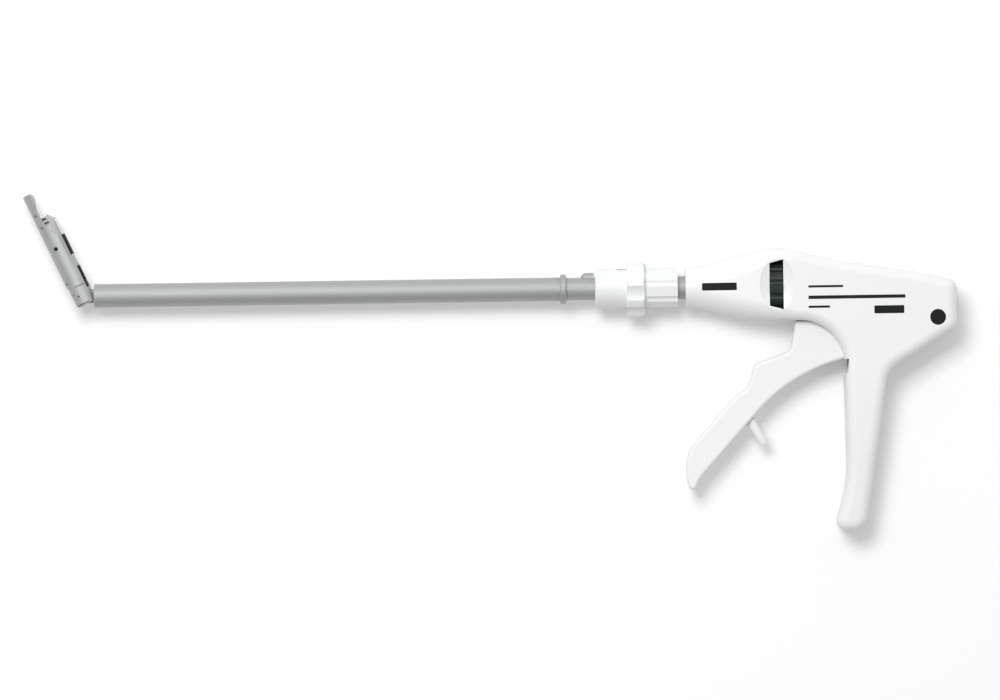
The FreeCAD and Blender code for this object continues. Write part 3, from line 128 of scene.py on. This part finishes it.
tree.links.new(chosen.outputs["Shader"], tree.nodes["Material Output"].inputs["Surface"])
table.data.materials.append(paper)


# Studio light
# One softbox above and to the upper left gives the shadow at the lower right. A plain pale room fills
# the rest, and is brighter on the side of the stapler's back than on the side of its grip.
light_from_grip = 0.29
light_from_back = 0.76
softbox_place = Vector((-0.4, 0.66, 1.9))
softbox_watts = 24
room = bpy.data.worlds.new("room")
room.use_nodes = True
tree = room.node_tree
outlook = tree.nodes.new("ShaderNodeTexCoord")
parts = tree.nodes.new("ShaderNodeSeparateXYZ")
level = tree.nodes.new("ShaderNodeMapRange")
level.inputs["From Min"].default_value = -1
level.inputs["To Min"].default_value = light_from_grip
level.inputs["To Max"].default_value = light_from_back
tree.links.new(outlook.outputs["Generated"], parts.inputs["Vector"])
tree.links.new(parts.outputs["Y"], level.inputs["Value"])
tree.links.new(level.outputs["Result"], tree.nodes["Background"].inputs["Strength"])
tree.nodes["Background"].inputs["Color"].default_value = (1, 1, 1, 1)
bpy.context.scene.world = room

softbox = bpy.data.lights.new("softbox", "AREA")
softbox.shape = "RECTANGLE"
softbox.size = 0.75
softbox.size_y = 0.7
softbox.energy = softbox_watts
softbox_stand = bpy.data.objects.new("softbox", softbox)
softbox_stand.location = softbox_place
softbox_stand.rotation_euler = (-softbox_place).to_track_quat("-Z", "Y").to_euler()
bpy.context.scene.collection.objects.link(softbox_stand)


# Handle shell
# Two moulded halves of white plastic, joined by pins along the middle plane, where a fine parting line
# shows. The mould leaves a satin grain, and the white is clouded a little.
bump_depth = 0.1 * mm
seam_half_width = 0.16 * mm
seam_grey = (0.3, 0.3, 0.3)


def add(tree, kind, **values):
    """One shader node, with its inputs set by name."""
    made = tree.nodes.new(kind)
    for name, value in values.items():
        made.inputs[name.replace("_", " ").title()].default_value = value
    return made


def build_moulded_grain():
    """A group that puts out a clouded colour and the height of a fine mould grain."""
    group = bpy.data.node_groups.new("moulded_grain", "ShaderNodeTree")
    for name, kind in (("Vector", "NodeSocketVector"), ("Light", "NodeSocketColor"),
                       ("Deep", "NodeSocketColor"), ("Fineness", "NodeSocketFloat")):
        group.interface.new_socket(name, in_out="INPUT", socket_type=kind)
    group.interface.new_socket("Color", in_out="OUTPUT", socket_type="NodeSocketColor")
    group.interface.new_socket("Height", in_out="OUTPUT", socket_type="NodeSocketFloat")
    entry = group.nodes.new("NodeGroupInput")
    end = group.nodes.new("NodeGroupOutput")
    cloud = add(group, "ShaderNodeTexNoise", scale=28.0, detail=3.0)
    tint = group.nodes.new("ShaderNodeMix")
    tint.data_type = "RGBA"
    grain = add(group, "ShaderNodeTexNoise", detail=2.0)
    group.links.new(entry.outputs["Vector"], cloud.inputs["Vector"])
    group.links.new(cloud.outputs["Fac"], tint.inputs[0])
    group.links.new(entry.outputs["Deep"], tint.inputs[6])
    group.links.new(entry.outputs["Light"], tint.inputs[7])
    group.links.new(tint.outputs[2], end.inputs["Color"])
    group.links.new(entry.outputs["Vector"], grain.inputs["Vector"])
    group.links.new(entry.outputs["Fineness"], grain.inputs["Scale"])
    group.links.new(grain.outputs["Fac"], end.inputs["Height"])
    return group


moulded_grain = build_moulded_grain()


def moulded_plastic(name, light, deep, roughness, fineness=1400.0, relief=0.12, gloss=0.5):
    """A plastic with the mould's grain in it. Light and deep are the two colours that it is clouded with."""
    material = bpy.data.materials.new(name)
    material.use_nodes = True
    tree = material.node_tree
    shader = tree.nodes["Principled BSDF"]
    shader.inputs["Roughness"].default_value = roughness
    shader.inputs["Specular IOR Level"].default_value = gloss
    place = tree.nodes.new("ShaderNodeTexCoord")
    grain = tree.nodes.new("ShaderNodeGroup")
    grain.node_tree = moulded_grain
    grain.inputs["Light"].default_value = (*light, 1)
    grain.inputs["Deep"].default_value = (*deep, 1)
    grain.inputs["Fineness"].default_value = fineness
    bump = add(tree, "ShaderNodeBump", strength=relief, distance=bump_depth)
    tree.links.new(place.outputs["Object"], grain.inputs["Vector"])
    tree.links.new(grain.outputs["Color"], shader.inputs["Base Color"])
    tree.links.new(grain.outputs["Height"], bump.inputs["Height"])
    tree.links.new(bump.outputs["Normal"], shader.inputs["Normal"])
    return material


def finish_nodes(material, *names):
    """Give CAD pieces their material."""
    for name in names:
        for place in nodes[name].material_slots:
            place.material = material


def draw_parting_line(material, half_width, shade):
    """Darken the seam along the middle plane, where the two halves of a moulding meet."""
    tree = material.node_tree
    shader = tree.nodes["Principled BSDF"]
    plain = shader.inputs["Base Color"].links[0].from_socket
    place = tree.nodes.new("ShaderNodeTexCoord")
    parts = tree.nodes.new("ShaderNodeSeparateXYZ")
    depth = tree.nodes.new("ShaderNodeMath")
    depth.operation = "ABSOLUTE"
    seam = add(tree, "ShaderNodeMapRange", from_min=0.0, from_max=half_width, to_min=1.0, to_max=0.0)
    blend = tree.nodes.new("ShaderNodeMix")
    blend.data_type = "RGBA"
    blend.inputs[7].default_value = (*shade, 1)
    tree.links.new(place.outputs["Object"], parts.inputs["Vector"])
    tree.links.new(parts.outputs["Z"], depth.inputs[0])
    tree.links.new(depth.outputs["Value"], seam.inputs["Value"])
    tree.links.new(seam.outputs["Result"], blend.inputs[0])
    tree.links.new(plain, blend.inputs[6])
    tree.links.new(blend.outputs[2], shader.inputs["Base Color"])


handle_white = moulded_plastic("handle_white", (0.88, 0.88, 0.885), (0.855, 0.855, 0.87), 0.42)
draw_parting_line(handle_white, seam_half_width, seam_grey)
finish_nodes(handle_white, "handle_half_left", "handle_half_right")


# Printed marks on the left side
# Thin pads of black ink on the shell: a label bar on the nose, another behind the knob, a round spot at
# the rear, and three plain rules.
ink = moulded_plastic("ink", (0.014, 0.016, 0.017), (0.009, 0.01, 0.011), 0.55, 900.0, 0.05, 0.12)
ink_thickness = 0.08 * mm
ink_drop = 6 * mm
pad_slice = 1.2 * mm
pad_start = 30 * mm
widest_half = 16 * mm


def flat_bar(name, length, height, corner):
    """A flat bar about the origin, with rounded corners and enough edges to bend round a form."""
    bpy.ops.object.select_all(action="DESELECT")
    bpy.ops.mesh.primitive_plane_add(size=1)
    bar = bpy.context.object
    bar.name = name
    bar.scale = (length, height, 1)
    bpy.ops.object.transform_apply(location=True, rotation=True, scale=True)
    bpy.ops.object.mode_set(mode="EDIT")
    bpy.ops.mesh.select_all(action="SELECT")
    bpy.ops.mesh.bevel(offset=corner, segments=4, affect="VERTICES")
    slices = max(2, int(length / pad_slice))
    for number in range(1, slices):
        bpy.ops.mesh.select_all(action="SELECT")
        bpy.ops.mesh.bisect(plane_co=(length * (number / slices - 0.5), 0, 0), plane_no=(1, 0, 0))
    for share in (-0.3, -0.15, 0, 0.15, 0.3):
        bpy.ops.mesh.select_all(action="SELECT")
        bpy.ops.mesh.bisect(plane_co=(0, share * height, 0), plane_no=(0, 1, 0))
    bpy.ops.object.mode_set(mode="OBJECT")
    return bar


def flat_spot(name, radius, *rings):
    """A flat round spot about the origin, with rings inside its rim."""
    bpy.ops.object.select_all(action="DESELECT")
    bpy.ops.mesh.primitive_circle_add(vertices=40, radius=radius, fill_type="NGON")
    spot = bpy.context.object
    spot.name = name
    bpy.ops.object.mode_set(mode="EDIT")
    bpy.ops.mesh.select_all(action="SELECT")
    for ring in rings:
        bpy.ops.mesh.inset(thickness=ring, depth=0)
    bpy.ops.object.mode_set(mode="OBJECT")
    return spot


def press_on(pad, carrier, place, turn, thickness, material, body, side=1, drop=2 * mm):
    """Lay a flat pad on a CAD piece from one side and thicken it.

    Points that miss the piece, or fall by more than drop below the highest one, are taken off first.
    """
    pad.location = (place[0], place[1], side * pad_start)
    pad.rotation_euler = (0, 0, turn)
    bpy.ops.object.transform_apply(location=True, rotation=True, scale=True)
    if side < 0:
        bpy.ops.object.mode_set(mode="EDIT")
        bpy.ops.mesh.select_all(action="SELECT")
        bpy.ops.mesh.flip_normals()
        bpy.ops.object.mode_set(mode="OBJECT")
    press = pad.modifiers.new("press", "SHRINKWRAP")
    press.target = nodes[carrier]
    press.wrap_method = "PROJECT"
    press.use_project_z = True
    press.use_negative_direction = side > 0
    press.use_positive_direction = side < 0
    bpy.ops.object.modifier_apply(modifier="press")
    landed = [abs(point.co.z) for point in pad.data.vertices if abs(point.co.z) < widest_half]
    bpy.ops.object.mode_set(mode="EDIT")
    bpy.ops.mesh.select_all(action="DESELECT")
    bpy.ops.object.mode_set(mode="OBJECT")
    for point in pad.data.vertices:
        point.select = not max(landed) - drop < abs(point.co.z) < widest_half
    bpy.ops.object.mode_set(mode="EDIT")
    bpy.ops.mesh.delete(type="VERT")
    bpy.ops.object.mode_set(mode="OBJECT")
    thicken = pad.modifiers.new("thicken", "SOLIDIFY")
    thicken.thickness = thickness
    thicken.offset = 1
    bpy.ops.object.modifier_apply(modifier="thicken")
    pad.data.materials.append(material)
    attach(pad, body)


for name, across, up, length, height, corner in (
        ("label_bar_nose", 80.5, 0.1, 17.5, 3.8, 0.4),
        ("label_bar_rear", 166.2, -12.6, 15.1, 4.0, 0.5),
        ("printed_rule_top", 134.2, -0.5, 17.6, 1.1, 0.3),
        ("printed_rule_middle", 149.9, -6.0, 49.0, 1.7, 0.3),
        ("printed_rule_low", 130.8, -10.8, 10.8, 1.1, 0.3)):
    press_on(flat_bar(name, length * mm, height * mm, corner * mm), "handle_half_left",
             (across * mm, up * mm), 0, ink_thickness, ink, "handle", drop=ink_drop)
press_on(flat_spot("printed_spot", 4.0 * mm, 0.45 * mm, 0.25 * mm), "handle_half_left",
         (190.8 * mm, -16.8 * mm), 0, ink_thickness, ink, "handle")


# Trigger
# A lever of the same white plastic that swings on a steel pin, with a short stop peg on its back. A
# steel fork in it drives the firing rod.
trigger_white = moulded_plastic("trigger_white", (0.88, 0.885, 0.88), (0.855, 0.865, 0.86), 0.42)
finish_nodes(trigger_white, "trigger")


# Rotation knob
# A black moulded wheel keyed to the shaft. The thumb turns it through the windows at the handle's sides.
knob_black = moulded_plastic("knob_black", (0.02, 0.034, 0.03), (0.008, 0.012, 0.01), 0.35, 700.0, 0.2, 0.35)
finish_nodes(knob_black, "rotation_knob")


# Collar
# A sleeve of white plastic that slides on the shaft and bends the tip, with a lobed finger flange and a
# row of grip ribs.
collar_white = moulded_plastic("collar_white", (0.865, 0.875, 0.87), (0.84, 0.855, 0.85), 0.4)
finish_nodes(collar_white, "articulation_collar")


# Bearings and seal
# Plain rings of slippery white plastic carry the shaft and its rods, and a rubber ring keeps the gas in.
bearing_white = moulded_plastic("bearing_white", (0.74, 0.74, 0.72), (0.68, 0.68, 0.66), 0.35, 900.0, 0.06)
finish_nodes(bearing_white, "nose_bushing", "rear_bushing", "rod_guides", "spring_seat")
seal_rubber = moulded_plastic("seal_rubber", (0.035, 0.035, 0.035), (0.022, 0.022, 0.022), 0.75, 500.0, 0.3)
finish_nodes(seal_rubber, "shaft_seal")


# Shaft tube
# A steel tube, 12 mm thick, ground round so that fine lines run about it, with a raised stop ring and a
# small key welded on in front of the collar.
line_relief = 0.08


def build_grinding_lines():
    """A group that puts out the colour, the roughness and the height of fine grinding lines."""
    group = bpy.data.node_groups.new("grinding_lines", "ShaderNodeTree")
    for name, kind in (("Vector", "NodeSocketVector"), ("Light", "NodeSocketColor"),
                       ("Deep", "NodeSocketColor"), ("Smooth", "NodeSocketFloat"),
                       ("Rough", "NodeSocketFloat")):
        group.interface.new_socket(name, in_out="INPUT", socket_type=kind)
    group.interface.new_socket("Color", in_out="OUTPUT", socket_type="NodeSocketColor")
    group.interface.new_socket("Roughness", in_out="OUTPUT", socket_type="NodeSocketFloat")
    group.interface.new_socket("Height", in_out="OUTPUT", socket_type="NodeSocketFloat")
    entry = group.nodes.new("NodeGroupInput")
    end = group.nodes.new("NodeGroupOutput")
    lines = add(group, "ShaderNodeTexNoise", scale=6.0, detail=5.0)
    tint = group.nodes.new("ShaderNodeMix")
    tint.data_type = "RGBA"
    spread = group.nodes.new("ShaderNodeMapRange")
    group.links.new(entry.outputs["Vector"], lines.inputs["Vector"])
    group.links.new(lines.outputs["Fac"], tint.inputs[0])
    group.links.new(entry.outputs["Deep"], tint.inputs[6])
    group.links.new(entry.outputs["Light"], tint.inputs[7])
    group.links.new(lines.outputs["Fac"], spread.inputs["Value"])
    group.links.new(entry.outputs["Smooth"], spread.inputs["To Min"])
    group.links.new(entry.outputs["Rough"], spread.inputs["To Max"])
    group.links.new(tint.outputs[2], end.inputs["Color"])
    group.links.new(spread.outputs["Result"], end.inputs["Roughness"])
    group.links.new(lines.outputs["Fac"], end.inputs["Height"])
    return group


grinding_lines = build_grinding_lines()


def ground_steel(name, light, deep, smooth, rough, stretch, turn=0.0):
    """A steel with grinding lines, which run across the axis that has the largest stretch."""
    material = bpy.data.materials.new(name)
    material.use_nodes = True
    tree = material.node_tree
    shader = tree.nodes["Principled BSDF"]
    shader.inputs["Metallic"].default_value = 1
    place = tree.nodes.new("ShaderNodeTexCoord")
    along = add(tree, "ShaderNodeMapping", scale=stretch, rotation=(0, 0, math.radians(turn)))
    lines = tree.nodes.new("ShaderNodeGroup")
    lines.node_tree = grinding_lines
    lines.inputs["Light"].default_value = (*light, 1)
    lines.inputs["Deep"].default_value = (*deep, 1)
    lines.inputs["Smooth"].default_value = smooth
    lines.inputs["Rough"].default_value = rough
    bump = add(tree, "ShaderNodeBump", strength=line_relief, distance=bump_depth)
    tree.links.new(place.outputs["Object"], along.inputs["Vector"])
    tree.links.new(along.outputs["Vector"], lines.inputs["Vector"])
    tree.links.new(lines.outputs["Color"], shader.inputs["Base Color"])
    tree.links.new(lines.outputs["Roughness"], shader.inputs["Roughness"])
    tree.links.new(lines.outputs["Height"], bump.inputs["Height"])
    tree.links.new(bump.outputs["Normal"], shader.inputs["Normal"])
    return material


shaft_steel = ground_steel("shaft_steel", (0.55, 0.56, 0.555), (0.48, 0.49, 0.485), 0.66, 0.76, (420, 30, 30))
finish_nodes(shaft_steel, "shaft_tube", "stop_ring", "guide_key", "firing_rod")


# Pins and clip
# Turned steel pins hold the trigger, the shell's halves, the collar and the yoke, and a bent clip holds
# the tube in its rear bearing.
pin_steel = ground_steel("pin_steel", (0.6, 0.6, 0.6), (0.52, 0.52, 0.52), 0.3, 0.4, (60, 60, 400))
finish_nodes(pin_steel, "trigger_pivot_pin", "case_pins", "knob_key", "retaining_clip",
             "collar_pin", "rod_spool", "yoke_pin", "articulation_pin")


# Springs and links
# Hard drawn steel: the coil that returns the firing rod, the band that bends with the tip, the leaf that
# feeds the staples and the thin rod from the collar to the tip. The coil is wound from one round wire.
# The band is a flat strip, curved about the hinge.
spring_steel = ground_steel("spring_steel", (0.5, 0.5, 0.51), (0.42, 0.42, 0.43), 0.3, 0.42, (300, 40, 40))
finish_nodes(spring_steel, "rod_return_spring", "flex_band", "staple_spring", "articulation_rod")

coil_low, coil_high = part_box("rod_return_spring")
wire_radius = 0.5 * mm
coil_turns = 6
wire_sides = 10
steps_in_turn = 28
firing_stroke = 5.36 * mm
coil_radius = (coil_high[2] - coil_low[2]) / 2 - wire_radius
coil_length = coil_high[0] - coil_low[0]
bpy.ops.object.select_all(action="DESELECT")
bpy.ops.mesh.primitive_circle_add(vertices=wire_sides, radius=wire_radius,
                                  rotation=(math.radians(90), 0, 0),
                                  location=(coil_low[0] + wire_radius, 0, -coil_radius))
coil = bpy.context.object
coil.name = "coil_spring"
bpy.ops.object.transform_apply(location=True, rotation=True, scale=True)
winding = coil.modifiers.new("winding", "SCREW")
winding.axis = "X"
winding.iterations = coil_turns
winding.steps = steps_in_turn
winding.render_steps = steps_in_turn
winding.screw_offset = (coil_length - 2 * wire_radius) / coil_turns
bpy.ops.object.modifier_apply(modifier="winding")
bpy.ops.object.mode_set(mode="EDIT")
bpy.ops.mesh.select_all(action="SELECT")
bpy.ops.mesh.fill_holes(sides=0)
bpy.ops.mesh.select_all(action="SELECT")
bpy.ops.mesh.normals_make_consistent(inside=False)
bpy.ops.object.mode_set(mode="OBJECT")
coil.data.materials.append(spring_steel)
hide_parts("rod_return_spring")
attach(coil, "shaft")
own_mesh(coil)

hinge = Vector((-242.3 * mm, 0, 0))
tip_turn = 65
tip_angle = math.radians(tip_turn)


def tip_point(ahead, up):
    """A place on the tip, from millimetres along it and across it."""
    return (hinge.x - ahead * mm * math.cos(tip_angle) + up * mm * math.sin(tip_angle),
            hinge.y + ahead * mm * math.sin(tip_angle) + up * mm * math.cos(tip_angle))


band_low, band_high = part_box("flex_band")
band_thickness = 0.3 * mm
band_gap = 0.1 * mm
band_rear = band_high[0] - firing_stroke - band_gap
bend_radius = 5 * mm
steps_in, steps_round, steps_out = 4, 16, 6
bend_centre = Vector((hinge.x + bend_radius * math.tan(tip_angle / 2), bend_radius, 0))
run_in = (bend_centre.x - band_rear) / steps_in
run_out = (band_high[1] - bend_radius * (1 - math.cos(tip_angle))) / math.sin(tip_angle) / steps_out
bpy.ops.object.select_all(action="DESELECT")
bpy.ops.mesh.primitive_plane_add(size=1, location=(band_rear, 0, 0), rotation=(0, math.radians(-90), 0))
band = bpy.context.object
band.name = "bending_band"
band.scale = (band_high[2] - band_low[2], band_thickness, 1)
bpy.ops.object.transform_apply(location=True, rotation=True, scale=True)
bpy.ops.object.mode_set(mode="EDIT")
bpy.ops.mesh.select_all(action="SELECT")
for _ in range(steps_in):
    bpy.ops.mesh.extrude_region_move(TRANSFORM_OT_translate={"value": (run_in, 0, 0)})
bpy.ops.mesh.spin(steps=steps_round, angle=-tip_angle, center=bend_centre, axis=(0, 0, 1))
for _ in range(steps_out):
    bpy.ops.mesh.extrude_region_move(TRANSFORM_OT_translate={
        "value": (-run_out * math.cos(tip_angle), run_out * math.sin(tip_angle), 0)})
bpy.ops.mesh.select_all(action="SELECT")
bpy.ops.mesh.remove_doubles(threshold=0.0001 * mm)
bpy.ops.mesh.normals_make_consistent(inside=False)
bpy.ops.object.mode_set(mode="OBJECT")
band.data.materials.append(spring_steel)
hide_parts("flex_band")
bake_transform(band)


# Tip
# Milled and pressed steel: the tongue at the tube's end, the knuckle that turns on it, the channel that
# holds the staples, the plate with the forming finger, and the strap over the cover.
tip_steel = ground_steel("tip_steel", (0.62, 0.63, 0.62), (0.48, 0.495, 0.485), 0.62, 0.78, (60, 330, 60),
                         tip_turn)
finish_nodes(tip_steel, "tip_knuckle", "cartridge_channel", "anvil_plate", "cover_bridge", "staple_pusher",
             "drive_yoke", "tip_trunnions")
tongue_steel = ground_steel("tongue_steel", (0.3, 0.305, 0.3), (0.22, 0.225, 0.22), 0.5, 0.62, (300, 40, 40))
finish_nodes(tongue_steel, "tongue_plug", "cartridge_rivets")


# Cartridge
# A light grey carrier under a clear cover, with ten staples of thin wire on it and two black strips let
# into the back.
carrier_grey = moulded_plastic("carrier_grey", (0.6, 0.62, 0.61), (0.52, 0.54, 0.53), 0.45, 700.0, 0.1)
finish_nodes(carrier_grey, "cartridge_body")
# The black of the strips, also used below for the painted shade in the tip's slots, seams and sight holes.
strip_and_shade_black = moulded_plastic("strip_and_shade_black", (0.012, 0.013, 0.013), (0.006, 0.007, 0.007), 0.5, 700.0, 0.1,
                              0.12)
finish_nodes(strip_and_shade_black, "cover_strips")
staple_wire = ground_steel("staple_wire", (0.74, 0.74, 0.72), (0.64, 0.64, 0.63), 0.25, 0.35, (200, 200, 60))
finish_nodes(staple_wire, "staples")

cover_clear = bpy.data.materials.new("cover_clear")
cover_clear.use_nodes = True
clear_tree = cover_clear.node_tree
clear_shader = clear_tree.nodes["Principled BSDF"]
clear_shader.inputs["Base Color"].default_value = (0.97, 0.98, 0.975, 1)
clear_shader.inputs["Transmission Weight"].default_value = 0.72
clear_shader.inputs["IOR"].default_value = 1.49
clear_place = clear_tree.nodes.new("ShaderNodeTexCoord")
clear_haze = add(clear_tree, "ShaderNodeTexNoise", scale=420.0, detail=2.0)
clear_spread = add(clear_tree, "ShaderNodeMapRange", to_min=0.05, to_max=0.22)
clear_tree.links.new(clear_place.outputs["Object"], clear_haze.inputs["Vector"])
clear_tree.links.new(clear_haze.outputs["Fac"], clear_spread.inputs["Value"])
clear_tree.links.new(clear_spread.outputs["Result"], clear_shader.inputs["Roughness"])
finish_nodes(cover_clear, "cartridge_cover")


# Small marks of the tip
# Black pads lie along the back edges of the cover and the knuckle, over the black strips. Black discs in the
# sight holes are painted shade, dark rivets hold the knuckle's ears, and two black bars on the cover's front
# are painted shade in the slots that guide a staple's legs. Black lines are painted shade in the groove about
# the knuckle's ear and a painted shadow in the gap at its end, and light pads are painted highlights on the
# cover's edges. All are thin, and lie on both sides of the tip, placed in millimetres.
dark_pad_thickness = 0.05 * mm
highlight_thickness = 0.15 * mm
plug_thickness = 1.7 * mm
# A near-white plastic for the pads that paint the highlights on the cover's edges.
cover_highlight_white = moulded_plastic("cover_highlight_white", (0.86, 0.87, 0.865), (0.74, 0.755, 0.75), 0.15, 700.0, 0.1)
rivet_dark = ground_steel("rivet_dark", (0.12, 0.125, 0.12), (0.07, 0.075, 0.07), 0.5, 0.6, (200, 200, 60))
for word, side in (("near", 1), ("far", -1)):
    for name, carrier, ahead, up, length, height in (
            # Black pads along the back edges of the cover and the knuckle, over the black strips.
            ("back_edge_black_cover", "cartridge_cover", 27.2, 4.5, 11.2, 1.3),
            ("back_edge_black_knuckle", "tip_knuckle", 9.2, 4.6, 11.9, 1.1),
            # Two black bars on the cover's front: painted shade inside the slots that guide a staple's legs.
            ("leg_slot_shade_front", "cartridge_cover", 43.5, -0.6, 0.9, 2.2),
            ("leg_slot_shade_rear", "cartridge_cover", 41.3, -0.2, 0.9, 2.4),
            # Black lines on the knuckle: painted shade in the groove about the ear, and a painted shadow in
            # the gap at its end.
            ("ear_groove_shade", "tip_knuckle", 5.6, 1.0, 0.3, 5.2),
            ("end_gap_shadow", "tip_knuckle", -3.9, -1.2, 0.9, 6.2)):
        press_on(flat_bar(name + "_" + word, length * mm, height * mm, 0.12 * mm), carrier,
                 tip_point(ahead, up), -tip_angle, dark_pad_thickness, strip_and_shade_black, "tip", side)
    for name, carrier, ahead, up, radius in (
            ("rivet_front", "tip_knuckle", 8.8, -4.6, 0.45),
            ("rivet_rear", "tip_knuckle", 0.6, -1.95, 0.5),
            ("rivet_low", "tip_knuckle", 2.2, -4.0, 0.3),
            ("rivet_cover_a", "cartridge_rivets", 46.8, -4.1, 0.5),
            ("rivet_cover_b", "cartridge_rivets", 39.9, -3.7, 0.5)):
        press_on(flat_spot(name + "_" + word, radius * mm, 0.1 * mm), carrier, tip_point(ahead, up), 0,
                 dark_pad_thickness, rivet_dark, "tip", side)
    # Light pads on the cover's back edge, front edge and ramp: painted highlights.
    for name, ahead, up, length, height in (
            ("cover_highlight_back", 37.2, 4.5, 8.6, 0.6),
            ("cover_highlight_front", 45.0, 1.4, 0.8, 4.4),
            ("cover_highlight_ramp", 45.2, -1.4, 1.2, 1.4)):
        press_on(flat_bar(name + "_" + word, length * mm, height * mm, 0.15 * mm), "cartridge_cover",
                 tip_point(ahead, up), -tip_angle, highlight_thickness, cover_highlight_white, "tip", side)
    # Black discs deep in the sight holes: painted shade inside the holes.
    press_on(flat_spot("sight_hole_shade_" + word, 1.0 * mm, 0.2 * mm), "cartridge_body", tip_point(27.3, -1.8), 0,
             plug_thickness, strip_and_shade_black, "tip", side)
